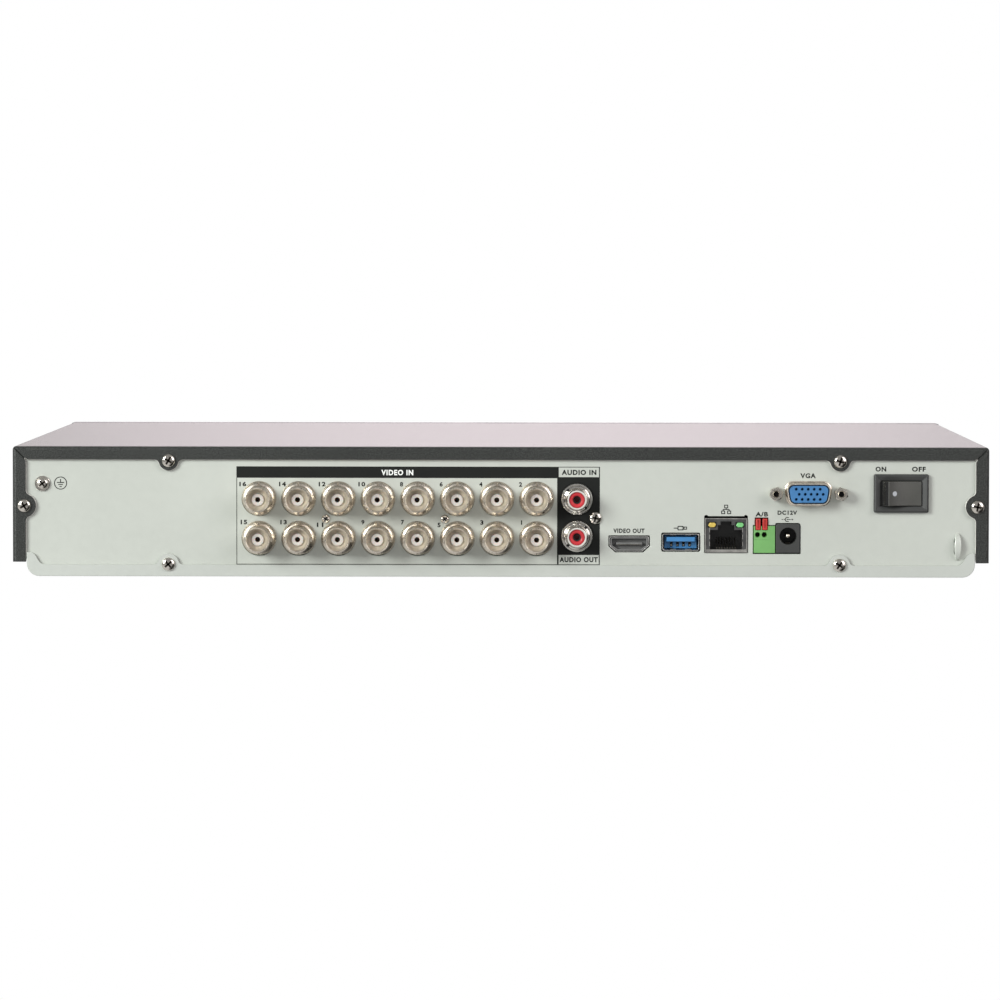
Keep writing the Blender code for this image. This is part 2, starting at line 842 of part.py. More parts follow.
def audio_jacks():
    """A black moulding with two phono jacks, each a metal shell around a red insulator."""
    left, right, top = AUDIO_X - 7.4 * MM, AUDIO_X + 9.6 * MM, 40 * MM
    tapped = rods(
        "Y",
        ((AUDIO_SCREW[0], INSIDE - MM, AUDIO_SCREW[1]), (AUDIO_SCREW[0], INSIDE + 7 * MM, AUDIO_SCREW[1]), 1.25 * MM),
        sides=8,
    )
    housing = blocks(((left, INSIDE, ON_BOARD), (right, INSIDE + 12 * MM, top)))
    piece("audio_jack_housing", cut(housing, tapped), BLACK_PLASTIC)
    reach = 9 * MM - PANEL_FACE
    seat = GAP - INSIDE
    shell = turned(
        [
            (3.45 * MM, reach - 0.5 * MM),
            (3.75 * MM, reach),
            (4.15 * MM, reach - 0.6 * MM),
            (4.15 * MM, seat + 3 * MM),
            (5 * MM, seat + 2.6 * MM),
            (5 * MM, seat + 2.0 * MM),
            (6.1 * MM, seat + 1.8 * MM),
            (6.1 * MM, seat),
            (3.45 * MM, seat),
        ]
    )
    places = {which: (AUDIO_X, 0, z) for which, z in AUDIO_ROWS.items()}
    piece("audio_jack_shell", shell, CHROME, places)
    insulator = turned(
        [
            (0, reach - 6 * MM),
            (1.6 * MM, reach - 6 * MM),
            (1.6 * MM, reach - 0.4 * MM),
            (3.05 * MM, reach - 0.4 * MM),
            (3.05 * MM, seat),
            (0, seat),
        ],
        10,
    )
    piece("audio_jack_insulator", insulator, RED_PLASTIC, places)


def hd_video_port():
    x, z = HD_VIDEO
    front, back = PANEL_FACE - 0.2 * MM, PANEL_FACE + 12 * MM
    shell = plate(
        "XZ", front, back, hd_outline(x, z, 15.2 * MM, 5.9 * MM), hd_outline(x, z, 14.2 * MM, 4.9 * MM)
    )
    piece("hd_video_port_shell", shell, STAINLESS)
    base = plate("XZ", back - 3.5 * MM, back + 2 * MM, hd_outline(x, z, 13.6 * MM, 4.3 * MM))
    blade = blocks(((x - 5 * MM, front + 2 * MM, z - 0.2 * MM), (x + 5 * MM, back - 3 * MM, z + 1.0 * MM)))
    piece("hd_video_port_tongue", joined(base, blade), BLACK_PLASTIC)


def usb_port():
    x, z = USB
    front, back = PANEL_FACE - 0.6 * MM, PANEL_FACE + 13.5 * MM
    outer, inner = mm(14.2, 6.6), mm(13.0, 5.6)
    shell = plate(
        "XZ",
        front,
        back,
        rounded_rectangle(x, z, *outer, 0.8 * MM, 2),
        rounded_rectangle(x, z, *inner, 0.5 * MM, 2),
    )
    piece("usb_port_shell", shell, STAINLESS)
    base = blocks(((x - 6.2 * MM, back - 5 * MM, z - 2.5 * MM), (x + 6.2 * MM, back - 0.5 * MM, z + 2.5 * MM)))
    blade = blocks(((x - 5.5 * MM, front + 1.6 * MM, z - 0.1 * MM), (x + 5.5 * MM, back - 4 * MM, z + 1.8 * MM)))
    piece("usb_port_tongue", joined(base, blade), BLUE_PLASTIC)


def lan_port():
    """A shielded network socket: a metal can around a moulding with the socket's stepped hole."""
    x, z = LAN
    front, back = PANEL_FACE - 0.5 * MM, PANEL_FACE + 15 * MM
    width, height, wall = mm(16.6, 14.0, 0.4)
    shield = plate("XZ", front, back, rectangle(x, z, width, height), rectangle(x, z, width - 2 * wall, height - 2 * wall))
    piece("lan_port_shield", shield, STAINLESS)
    inner = width - 2 * wall - 2 * GAP, height - 2 * wall - 2 * GAP
    body = plate("XZ", front + 0.4 * MM, back - 0.5 * MM, rectangle(x, z, *inner))
    low, step, shelf, high = z - 5.6 * MM, z + 1.9 * MM, z + 3.8 * MM, z + 5.4 * MM
    wide, mid, narrow = mm(6.2, 3.2, 2.1)
    socket = plate(
        "XZ",
        front - MM,
        back - 2.5 * MM,
        [
            (x - wide, low),
            (x + wide, low),
            (x + wide, step),
            (x + mid, step),
            (x + mid, shelf),
            (x + narrow, shelf),
            (x + narrow, high),
            (x - narrow, high),
            (x - narrow, shelf),
            (x - mid, shelf),
            (x - mid, step),
            (x - wide, step),
        ],
    )
    piece("lan_port_housing", cut(body, socket), BLACK_PLASTIC)


def terminal():
    """A two-way spring terminal: each red lever is pushed in to open its clamp."""
    low, high = ON_BOARD, 22.7 * MM
    half = 4.1 * MM
    front, back = PANEL_FACE - 0.5 * MM, PANEL_FACE + 12 * MM
    body = blocks(((TERMINAL_X - half, front, low), (TERMINAL_X + half, back, high)))
    slot, lever = mm(2.15, 1.85)
    lever_low, lever_high = mm(21.2, 25.5)
    lever_back = front + 8 * MM
    slots = blocks(
        *[
            ((x - slot / 2, front - MM, lever_low - GAP / 2), (x + slot / 2, lever_back + 2 * MM, high + MM))
            for x in LEVERS.values()
        ]
    )
    wires = rods(
        "Y", *[((x - 0.2 * MM, front - MM, 19.3 * MM), (x - 0.2 * MM, front + 8 * MM, 19.3 * MM), 0.95 * MM) for x in LEVERS.values()], sides=10
    )
    piece("terminal_block", cut(body, slots, wires), GREEN_PLASTIC)
    bar = blocks(((-lever / 2, -0.3 * MM, lever_low), (lever / 2, lever_back - front, lever_high)))
    piece("terminal_lever", bar, RED_PLASTIC, {which: (x, front, 0) for which, x in LEVERS.items()})


def power_jack():
    x, z = POWER
    front, back = PANEL_FACE - 0.5 * MM, PANEL_FACE + 13 * MM
    body = plate(
        "XZ",
        front,
        back,
        rounded(
            [
                (105.7 * MM, ON_BOARD, 0),
                (114.9 * MM, ON_BOARD, 0),
                (114.9 * MM, 23.5 * MM, 0.8 * MM),
                (105.7 * MM, 23.5 * MM, 0.8 * MM),
            ]
        ),
    )
    bore = rods("Y", ((x, front - MM, z), (x, front + 9.5 * MM, z), 3.15 * MM), sides=20)
    piece("power_jack", cut(body, bore), BLACK_PLASTIC)
    tip = -(front + 1.2 * MM)
    seat = -(front + 9.2 * MM)
    pin = turned([(0, tip), (0.6 * MM, tip - 0.15 * MM), (0.98 * MM, tip - 0.7 * MM), (0.98 * MM, seat), (0, seat)], 12)
    piece("power_jack_pin", pin, NICKEL, {"": (x, 0, z)})


def vga_port():
    """A fifteen-way D connector on a riser, held by two hexagonal jack screws."""
    x, z = VGA
    front = PANEL_FACE - 5.9 * MM
    flange = plate(
        "XZ",
        INSIDE,
        INSIDE + 0.6 * MM,
        rounded_rectangle(x, z, 30.8 * MM, 12.5 * MM, 1.5 * MM, 2),
        *[circle(x + side * VGA_SCREW_SPACING / 2, z, 1.7 * MM, 12) for side in (-1, 1)],
    )
    skirt = plate("XZ", front, INSIDE + 0.3 * MM, d_outline(x, z, 16.3 * MM, 8.1 * MM, 2.7 * MM))
    hollow = plate("XZ", front - MM, INSIDE + 2 * MM, d_outline(x, z, 15.3 * MM, 7.1 * MM, 2.2 * MM))
    piece("vga_port_shell", cut(joined(flange, skirt), hollow), NICKEL)
    core = plate("XZ", front + 0.5 * MM, INSIDE + 2 * MM, d_outline(x, z, 14.7 * MM, 6.5 * MM, 2 * MM))
    behind = INSIDE + 0.6 * MM + GAP
    block = blocks(((x - 15.4 * MM, behind, z - 6.2 * MM), (x + 15.4 * MM, -112 * MM, z + 6.2 * MM)))
    riser = blocks(((x - 12 * MM, -116.5 * MM, ON_BOARD), (x + 12 * MM, -112.2 * MM, z)))
    screw_ends = rods(
        "Y",
        *[
            ((x + side * VGA_SCREW_SPACING / 2, INSIDE, z), (x + side * VGA_SCREW_SPACING / 2, INSIDE + 6 * MM, z), 1.7 * MM)
            for side in (-1, 1)
        ],
    )
    piece("vga_port_insert", cut(joined(core, block, riser), screw_ends), BLUE_PLASTIC)
    hexagon = rods("Y", ((0, -5 * MM, 0), (0, 0, 0), 2.75 * MM), sides=6)
    shank = rods("Y", ((0, -MM, 0), (0, 5 * MM, 0), 1.3 * MM), sides=10)
    thread = rods("Y", ((0, -6 * MM, 0), (0, -1.5 * MM, 0), 1.25 * MM), sides=10)
    places = {
        which: on_panel(x + side * VGA_SCREW_SPACING / 2, z) for which, side in (("left", -1), ("right", 1))
    }
    piece("vga_jack_screw", cut(joined(hexagon, shank), thread), NICKEL, places)


def power_switch():
    """A rocker switch. The rocker turns about an upright pin; at rest its right end is in, for off."""
    x, z = SWITCH
    wide, tall, thick = SWITCH_BEZEL
    px, py, pz = ROCKER_PIVOT
    back = PANEL_FACE + 13 * MM
    cavity = ROCKER_RADIUS + ROCKER_PLAY
    bezel = plate("XZ", SWITCH_FACE, PANEL_FACE - SEAT, rounded_rectangle(x, z, wide, tall, 0.6 * MM, 2))
    body = blocks(((x - 9.5 * MM, PANEL_FACE - 0.5 * MM, z - 6.4 * MM), (x + 9.5 * MM, back, z + 6.4 * MM)))
    blades = blocks(
        *[((x + dx * MM - 0.4 * MM, back - MM, z - 2.4 * MM), (x + dx * MM + 0.4 * MM, back + 7 * MM, z + 2.4 * MM)) for dx in (-5, 3)]
    )
    room = rods("Z", ((px, py, pz - SWITCH_OPENING / 2), (px, py, pz + SWITCH_OPENING / 2), cavity), sides=40)
    pin_holes = rods("Z", ((px, py, pz - 5.9 * MM), (px, py, pz + 5.9 * MM), 1.5 * MM))
    piece("switch_frame", cut(joined(bezel, body, blades), room, pin_holes), BLACK_PLASTIC)

    tip = math.degrees(ROCKER_TIP)
    end = tip + 2 * math.degrees(ROCKER_TILT) + 2
    tilt = math.degrees(ROCKER_TILT)
    sag = 1.1 * MM  # how far the face is hollowed
    half = ROCKER_RADIUS * math.sin(ROCKER_TIP)
    height = ROCKER_RADIUS * math.cos(ROCKER_TIP)
    face = [(half * t, -height + sag * (1 - t * t)) for t in (0.75, 0.4, 0, -0.4, -0.75)]
    outline = (
        arc(0, 0, ROCKER_RADIUS, -90 - tip, -90 - end, 6)
        + [(-3 * MM, 2 * MM), (3 * MM, 2 * MM)]
        + arc(0, 0, ROCKER_RADIUS, -90 + end, -90 + tip, 6)
        + face
    )
    thickness = SWITCH_OPENING - 0.5 * MM
    rocker = plate("XY", -thickness / 2, thickness / 2, outline)
    pin = rods("Z", ((0, 0, -5.6 * MM), (0, 0, 5.6 * MM), 1.2 * MM))
    rocker = joined(rocker, pin)
    rocker.data.transform(Matrix.Rotation(math.radians(tilt), 4, "Z"))
    piece("switch_rocker", rocker, BLACK_PLASTIC, {"": ROCKER_PIVOT})


# ---- Inside the case ----


def main_board():
    """The circuit board with its chips, capacitors, headers and battery holder."""
    left, right, rear, fore = mm(-162, 166, -128.5, 8)
    low, high = BOARD_TOP - BOARD_SHEET, BOARD_TOP
    board = blocks(((left, rear, low), (right, fore, high)))
    sunk = high - 0.3 * MM
    chips = [(60, -62, 25, 25, 2.2), (100, -60, 12, 14, 1.2), (100, -40, 12, 14, 1.2), (20, -60, 12, 14, 1.2), (20, -40, 12, 14, 1.2)]
    chips += [(x, -90, 12, 12, 1.4) for x in (-90, -60, -30, 0)]
    headers = [(14, -2, 17, 6, 9), (150, -88, 6, 8, 7), (155, 2, 14, 6, 6), (-150, -10, 8, 5, 6), (-120, -20, 23, 23, 1.8)]
    raised = blocks(
        *[
            (((x - w / 2) * MM, (y - d / 2) * MM, sunk), ((x + w / 2) * MM, (y + d / 2) * MM, high + h * MM))
            for x, y, w, d, h in chips + headers
        ]
    )
    capacitors = rods(
        "Z", *[((x * MM, y * MM, sunk), (x * MM, y * MM, high + 11 * MM), 4 * MM) for x, y in ((125, -80), (136, -80), (125, -65), (136, -65))], sides=10
    )
    piece("main_board", joined(board, raised, capacitors), BOARD_GREEN)
    cell = rods("Z", (mm(-120, -20, 14.1), mm(-120, -20, 17.3), 10 * MM), sides=20)
    piece("coin_cell", cell, STAINLESS)


def heat_sink():
    """A finned block on the main board's largest chip."""
    x, y = mm(60, -62)
    half, foot, tall = 20 * MM, BOARD_TOP + 2.2 * MM + GAP, 14 * MM
    body = blocks(((x - half, y - half, foot), (x + half, y + half, foot + tall)))
    grooves = blocks(
        *[
            ((x - half + (2 + 4.4 * i) * MM, y - half - MM, foot + 3 * MM), (x - half + (4.8 + 4.4 * i) * MM, y + half + MM, foot + tall + MM))
            for i in range(8)
        ]
    )
    piece("heat_sink", cut(body, grooves), ALUMINIUM)


def hard_disk():
    """A 3.5 inch drive, with its cover plate's step and the connector notch at its right end."""
    x, y, z = DRIVE_X, DRIVE_Y, DRIVE_Z
    body = blocks(((x, y, z), (x + DRIVE[0], y + DRIVE[1], z + DRIVE[2] - MM)))
    lid = plate(
        "XY",
        z + DRIVE[2] - 2 * MM,
        z + DRIVE[2],
        rounded_rectangle(x + DRIVE[0] / 2 - 4 * MM, y + DRIVE[1] / 2, DRIVE[0] - 18 * MM, DRIVE[1] - 8 * MM, 6 * MM),
    )
    notch = blocks(((x + DRIVE[0] - 6 * MM, y + 30 * MM, z - MM), (x + DRIVE[0] + MM, y + 75 * MM, z + 6 * MM)))
    hub = rods("Z", ((x + 52 * MM, y + DRIVE[1] / 2, z + DRIVE[2] - MM), (x + 52 * MM, y + DRIVE[1] / 2, z + DRIVE[2] + 0.5 * MM), 12 * MM), sides=20)
    piece("hard_disk", joined(cut(body, notch), lid, hub), ALUMINIUM)


def fan():
    """A square fan frame on the tray's left wall, and the rotor that turns in it about X."""
    y, z = FAN_CENTRE
    half = FAN_SIZE / 2
    inner = FAN_X + FAN_THICKNESS
    corners = [circle(y + a * 16 * MM, z + b * 16 * MM, 1.7 * MM, 8) for a in (-1, 1) for b in (-1, 1)]
    frame = plate(
        "YZ",
        FAN_X,
        inner,
        rounded_rectangle(y, z, FAN_SIZE, FAN_SIZE, 2 * MM),
        circle(y, z, half - 1.2 * MM, 24),
        *corners,
    )
    seat = rods("X", ((inner - 1.6 * MM, y, z), (inner, y, z), 9 * MM), sides=16)
    struts = blocks(
        ((inner - 1.6 * MM, y - 1.2 * MM, z - half + 0.5 * MM), (inner - 0.1 * MM, y + 1.2 * MM, z + half - 0.5 * MM))
    )
    piece("fan_frame", joined(frame, seat, struts), BLACK_PLASTIC)

    hub_radius, blade_radius = mm(8.4, 17.6)
    start, end = FAN_X + 0.6 * MM, inner - 2.2 * MM
    rotor = rods("X", ((start, 0, 0), (end, 0, 0), hub_radius), sides=16)
    blade = blocks((mm(-3.6, -0.45, 7.6), (3.6 * MM, 0.45 * MM, blade_radius)))
    mesh = blade.data
    mesh.transform(Matrix.Translation(((start + end) / 2, 0, 0)) @ Matrix.Rotation(math.radians(55), 4, "Z"))
    blades = [helper(mesh.copy()) for _ in range(7)]
    for i, made in enumerate(blades):
        made.data.transform(Matrix.Rotation(math.tau * i / len(blades), 4, "X"))
    bpy.data.objects.remove(blade)
    piece("fan_rotor", joined(rotor, *blades), BLACK_PLASTIC, {"": (0, y, z)})


def front_board():
    """The strip behind the front: lamps and remote receiver at the window, and the front port."""
    back, face = SHEET_FRONT - SHEET - GAP - BOARD_SHEET, SHEET_FRONT - SHEET - GAP
    port_x, port_z = FRONT_PORT
    board = blocks(((-165 * MM, back, 10 * MM), (168 * MM, face, 42 * MM)))
    lamp_z = 37 * MM
    lamps = rods(
        "Y", *[((x * MM, face - 0.5 * MM, lamp_z), (x * MM, FRONT - 3.2 * MM, lamp_z), 1.5 * MM) for x in (75, 90, 105)], sides=8
    )
    receiver = blocks(((145 * MM, face - 0.5 * MM, 33.5 * MM), (151 * MM, FRONT - 3.2 * MM, 40.5 * MM)))
    can = plate(
        "XZ",
        face - 0.5 * MM,
        FRONT - 0.3 * MM,
        rounded_rectangle(port_x, port_z, 13.6 * MM, 6.2 * MM, 0.6 * MM, 2),
    )
    hollow = plate(
        "XZ",
        face + 4 * MM,
        FRONT + MM,
        rounded_rectangle(port_x, port_z, 12.6 * MM, 5.2 * MM, 0.4 * MM, 2),
    )
    blade = blocks(((port_x - 5.5 * MM, face + 3 * MM, port_z), (port_x + 5.5 * MM, FRONT - 2 * MM, port_z + 1.8 * MM)))
    piece("front_board", joined(cut(joined(board, lamps, receiver, can), hollow), blade), BOARD_GREEN)


def leads():
    """The leads inside the case, each with the plugs on its ends."""
    drive_end = DRIVE_X + DRIVE[0]
    y = DRIVE_Y + 52 * MM
    drive_plug = blocks(((drive_end - 5 * MM, y - 16 * MM, DRIVE_Z), (drive_end + 6 * MM, y + 16 * MM, DRIVE_Z + 5 * MM)))
    board_plug = blocks((mm(7, -6, 21.4), mm(21, 2, 29)))
    route = [
        (drive_end + 5 * MM, y, DRIVE_Z + 2.5 * MM),
        (drive_end + 14 * MM, y - 2 * MM, DRIVE_Z + 4 * MM),
        (drive_end + 24 * MM, y - 16 * MM, DRIVE_Z + 12 * MM),
        mm(14, 38, 26),
        mm(14, 20, 32),
        mm(14, 5, 35),
        mm(14, -2, 32),
        mm(14, -2, 28),
    ]
    piece("drive_lead", joined(tube(route, 2.2 * MM), drive_plug, board_plug), LEAD_BLACK)
    route = [
        mm(150.6, -109.3, 35),
        mm(150.2, -104, 34),
        mm(150, -97, 30),
        mm(150, -90, 25),
        mm(150, -88, 20.5),
    ]
    piece("switch_lead", tube(route, 1.5 * MM), LEAD_BLACK)
    route = [
        mm(155, 125.0, 24),
        mm(156, 119, 22),
        mm(157, 110, 15),
        mm(157, 95, 9),
        mm(157, 60, 7.5),
        mm(157, 30, 9),
        mm(156, 14, 16),
        mm(155, 5, 22),
        mm(155, 2, 19.5),
    ]
    piece("front_lead", tube(route, 1.5 * MM), LEAD_BLACK)


for old in list(bpy.data.objects):
    bpy.data.objects.remove(old)
parts = collection("video_recorder")
cutters = collection("cutters")
cutters.hide_render = True

COVER_BLACK = material("cover_black", (0.042, 0.044, 0.042), 0.45)
PANEL_GREY = material("panel_grey", (0.60, 0.63, 0.58), 0.38, 0.2)
BARE_STEEL = material("bare_steel", (0.60, 0.63, 0.59), 0.38, 0.4)
FRONT_BLACK = material("front_black", (0.03, 0.03, 0.032), 0.35)
SMOKED = material("smoked_window", (0.02, 0.02, 0.022), 0.08)
RUBBER = material("rubber", (0.02, 0.02, 0.02), 0.8)
SCREW_STEEL = material("screw_steel", (0.72, 0.68, 0.62), 0.25, 1.0)
NICKEL = material("nickel", (0.66, 0.60, 0.52), 0.25, 1.0)
CHROME = material("chrome", (0.80, 0.79, 0.77), 0.12, 1.0)
STAINLESS = material("stainless", (0.62, 0.61, 0.59), 0.3, 1.0)
BLACK_PLASTIC = material("black_plastic", (0.05, 0.051, 0.05), 0.5)
WHITE_PLASTIC = material("white_plastic", (0.80, 0.78, 0.75), 0.5)
RED_PLASTIC = material("red_plastic", (0.55, 0.03, 0.035), 0.4)
BLUE_PLASTIC = material("blue_plastic", (0.03, 0.22, 0.62), 0.45)
GREEN_PLASTIC = material("green_plastic", (0.20, 0.47, 0.15), 0.5)
BOARD_GREEN = material("board_green", (0.02, 0.16, 0.07), 0.45)
ALUMINIUM = material("aluminium", (0.70, 0.71, 0.72), 0.35, 1.0)
LEAD_BLACK = material("lead_black", (0.02, 0.02, 0.022), 0.5)

top_cover()
bottom_tray()
rear_panel()
front()
feet()
fasteners()
video_jacks()
audio_jacks()
hd_video_port()
usb_port()
lan_port()
terminal()
power_jack()
vga_port()
power_switch()
main_board()
heat_sink()
hard_disk()
fan()
front_board()
leads()
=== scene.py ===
"""The finished look of a sixteen-channel video recorder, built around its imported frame.

+Z is up and the connector panel faces -Y. Positions come from the frame's nodes, and sizes are
the real sizes of sheet, screws and connectors. Both are in millimetres until they become a mesh.
"""

import json
import math
import random
from collections import namedtuple

import bmesh
import bpy
from mathutils import Matrix, Vector


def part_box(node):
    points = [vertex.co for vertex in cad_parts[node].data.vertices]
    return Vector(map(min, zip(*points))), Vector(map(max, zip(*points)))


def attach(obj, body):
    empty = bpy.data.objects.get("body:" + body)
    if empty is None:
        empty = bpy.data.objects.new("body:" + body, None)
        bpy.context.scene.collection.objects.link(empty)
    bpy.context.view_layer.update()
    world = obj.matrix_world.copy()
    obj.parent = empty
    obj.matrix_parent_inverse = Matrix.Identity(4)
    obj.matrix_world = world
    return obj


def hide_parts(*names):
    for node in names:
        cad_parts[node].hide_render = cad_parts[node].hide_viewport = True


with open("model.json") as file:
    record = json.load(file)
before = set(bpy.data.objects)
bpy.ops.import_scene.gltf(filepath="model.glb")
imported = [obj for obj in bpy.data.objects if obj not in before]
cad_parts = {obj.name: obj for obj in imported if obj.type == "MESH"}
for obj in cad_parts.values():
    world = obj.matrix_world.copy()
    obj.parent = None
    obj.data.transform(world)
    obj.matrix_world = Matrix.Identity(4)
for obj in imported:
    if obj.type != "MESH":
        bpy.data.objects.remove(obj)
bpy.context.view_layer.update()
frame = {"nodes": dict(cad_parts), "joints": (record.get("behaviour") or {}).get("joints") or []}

MM = 0.001
Point = namedtuple("Point", "x y z")


def box(node):
    """The low and high corners of a CAD node."""
    return [Point(*(size / MM for size in corner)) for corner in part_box(node)]


def middle(node):
    """(x, z) of the middle of a CAD node."""
    low, high = box(node)
    return ((low.x + high.x) / 2, (low.z + high.z) / 2)


COVER_LOW, COVER_HIGH = box("top_cover")
TRAY_LOW, TRAY_HIGH = box("bottom_tray")
PANEL_LOW, PANEL_HIGH = box("rear_panel")
FAN_LOW, FAN_HIGH = box("fan_frame")
SHEET = 1
GAP = 0.3
HALF = COVER_HIGH.x
TOP = COVER_HIGH.z
SKIRT = COVER_LOW.z
REAR = COVER_LOW.y
SHEET_FRONT = COVER_HIGH.y
TRAY_HALF = TRAY_HIGH.x
BASE = TRAY_LOW.z
PANEL_FACE = PANEL_HIGH.y - SHEET
INSIDE = PANEL_HIGH.y + GAP
SEAT = PANEL_FACE - 0.05
FAN = ((FAN_LOW.y + FAN_HIGH.y) / 2, (FAN_LOW.z + FAN_HIGH.z) / 2)
JACKS = [f"video_jacks_{2 * i + 1:02d}_{2 * i + 2:02d}" for i in range(8)]
JACK_ROWS = (17.65, 32.9)
JACK_COLUMNS = [middle(node)[0] for node in JACKS]
JACK_PLACES = [(x, 0, z) for x in JACK_COLUMNS for z in JACK_ROWS]
JACK_MOUTH = box(JACKS[0])[0].y
AUDIO = {"in": middle("audio_jack_shell_in"), "out": middle("audio_jack_shell_out")}
COVER_SCREWS = {
    where: middle(f"case_screw_{where}") for where in ("top_left", "top_right", "side_left", "side_right")
}
TRAY_SCREWS = {where: middle(f"case_screw_{where}") for where in ("tray_left", "tray_right")}
HD_VIDEO = middle("hd_video_port_shell")
USB = middle("usb_port_shell")
LAN = middle("lan_port_shield")
POWER = middle("power_jack_pin")
VGA = middle("vga_port_shell")
VGA_SCREW = 12.5
SWITCH = middle("switch_frame")
ROCK = next(joint for joint in frame["joints"] if joint["name"] == "switch_rock")
PIVOT = Point(*(size / MM for size in ROCK["pos_m"]))
FRONT_PORT = (-150, 18)


# ---- Outlines, as lists of points in the plane ----


def arc(x, y, radius, start, end, steps):
    angles = [math.radians(start + (end - start) * i / steps) for i in range(steps + 1)]
    return [(x + radius * math.cos(a), y + radius * math.sin(a)) for a in angles]


def circle(x, y, radius, sides=40):
    return arc(x, y, radius, 0, 360, sides)[:-1]


def span(x0, y0, x1, y1):
    return [(x0, y0), (x1, y0), (x1, y1), (x0, y1)]


def rectangle(x, y, width, height):
    return span(x - width / 2, y - height / 2, x + width / 2, y + height / 2)


def mirrored(points):
    """The points on the other side of x = 0, in the order that goes on round an outline."""
    return [(-x, *rest) for x, *rest in reversed(points)]


def rounded(corners, steps=6):
    """The outline through corners (x, y, radius), each rounded by an arc of its radius."""
    outline = []
    for i, (x, y, radius) in enumerate(corners):
        if not radius:
            outline.append((x, y))
            continue
        corner = Vector((x, y))
        back = (Vector(corners[i - 1][:2]) - corner).normalized()
        ahead = (Vector(corners[(i + 1) % len(corners)][:2]) - corner).normalized()
        half = back.angle(ahead) / 2
        centre = corner + (back + ahead).normalized() * radius / math.sin(half)
        reach = radius / math.tan(half)
        first, last = corner + back * reach - centre, corner + ahead * reach - centre
        start = math.degrees(math.atan2(first.y, first.x))
        turn = (math.degrees(math.atan2(last.y, last.x)) - start + 180) % 360 - 180
        outline += arc(centre.x, centre.y, radius, start, start + turn, steps)
    return outline


def rounded_rectangle(x, y, width, height, radius, steps=6):
    return rounded([(*corner, radius) for corner in rectangle(x, y, width, height)], steps)


def tab(along, edge, centre, radius=4, fillet=2):
    """Points (u, v), in order of u, where a round tab hangs below the line v = edge."""
    drop = edge - fillet - centre
    reach = math.sqrt((radius + fillet) ** 2 - drop**2)
    touch = math.degrees(math.atan2(drop, reach))
    return (
        arc(along - reach, edge - fillet, fillet, 90, -touch, 8)
        + arc(along, centre, radius, 180 - touch, 360 + touch, 28)
        + arc(along + reach, edge - fillet, fillet, 180 + touch, 90, 8)
    )


def d_outline(x, z, width, height, radius):
    lean = height / 2 * math.tan(math.radians(10))
    low, high = z - height / 2, z + height / 2
    near, far = width / 2 - lean, width / 2 + lean
    corners = [(x - near, low), (x + near, low), (x + far, high), (x - far, high)]
    return rounded([(*corner, radius) for corner in corners], 8)


def hd_outline(x, z, width, height, radius=0.4):
    shoulder, foot = z - 0.14 * height, 0.34 * width
    low, high, half = z - height / 2, z + height / 2, width / 2
    corners = [
        (x - foot, low), (x + foot, low), (x + half, shoulder),
        (x + half, high), (x - half, high), (x - half, shoulder),
    ]
    return rounded([(*corner, radius) for corner in corners], 4)


# ---- Shapes, which are meshes in metres until finished() makes an object of them ----


def metres(point):
    return Vector([size * MM for size in point])


def from_bmesh(shape):
    mesh = bpy.data.meshes.new("shape")
    bmesh.ops.recalc_face_normals(shape, faces=shape.faces)
    shape.to_mesh(mesh)
    shape.free()
    return mesh


def placed(data):
    obj = bpy.data.objects.new("shape", data)
    bpy.context.scene.collection.objects.link(obj)
    return obj


def evaluated(obj):
    """The object's mesh with its modifiers applied. The object is deleted."""
    bpy.context.view_layer.update()
    graph = bpy.context.evaluated_depsgraph_get()
    mesh = bpy.data.meshes.new_from_object(obj.evaluated_get(graph))
    mesh.transform(obj.matrix_world)
    bpy.data.objects.remove(obj)
    return mesh


def welded(mesh):
    shape = bmesh.new()
    shape.from_mesh(mesh)
    bmesh.ops.remove_doubles(shape, verts=shape.verts, dist=0.0005 * MM)
    return from_bmesh(shape)


PLANES = {
    "XY": Matrix.Identity(4),
    "XZ": Matrix.Rotation(math.pi / 2, 4, "X"),
    "YZ": Matrix.Rotation(math.pi / 2, 4, "Z") @ Matrix.Rotation(math.pi / 2, 4, "X"),
}


def area(outline):
    return sum(a[0] * b[1] - b[0] * a[1] for a, b in zip(outline, outline[1:] + outline[:1]))


def add_spline(curve, points, cyclic):
    spline = curve.splines.new("POLY")
    spline.points.add(len(points) - 1)
    for point, place in zip(spline.points, points):
        point.co = (*metres(place), 1)
    spline.use_cyclic_u = cyclic


def slab(low, high, outline, *holes, edge=0.0, plane="XZ", segments=2):
    """A flat sheet from low to high along the axis that its plane leaves. Its rims, those of the
    holes too, are rounded by edge."""
    curve = bpy.data.curves.new("outline", "CURVE")
    curve.dimensions = "2D"
    curve.fill_mode = "BOTH"
    curve.extrude = max((high - low) / 2 - edge, 0) * MM
    curve.bevel_depth = edge * MM
    curve.bevel_resolution = segments - 1
    curve.offset = -edge * MM
    for i, loop in enumerate((outline, *holes)):
        inward = (area(loop) > 0) == (i == 0)
        add_spline(curve, [(x, y, 0) for x, y in (reversed(loop) if inward else loop)], True)
    obj = placed(curve)
    obj.matrix_world = PLANES[plane]
    obj.location["XYZ".index(({"X", "Y", "Z"} - set(plane)).pop())] = (low + high) / 2 * MM
    return welded(evaluated(obj))


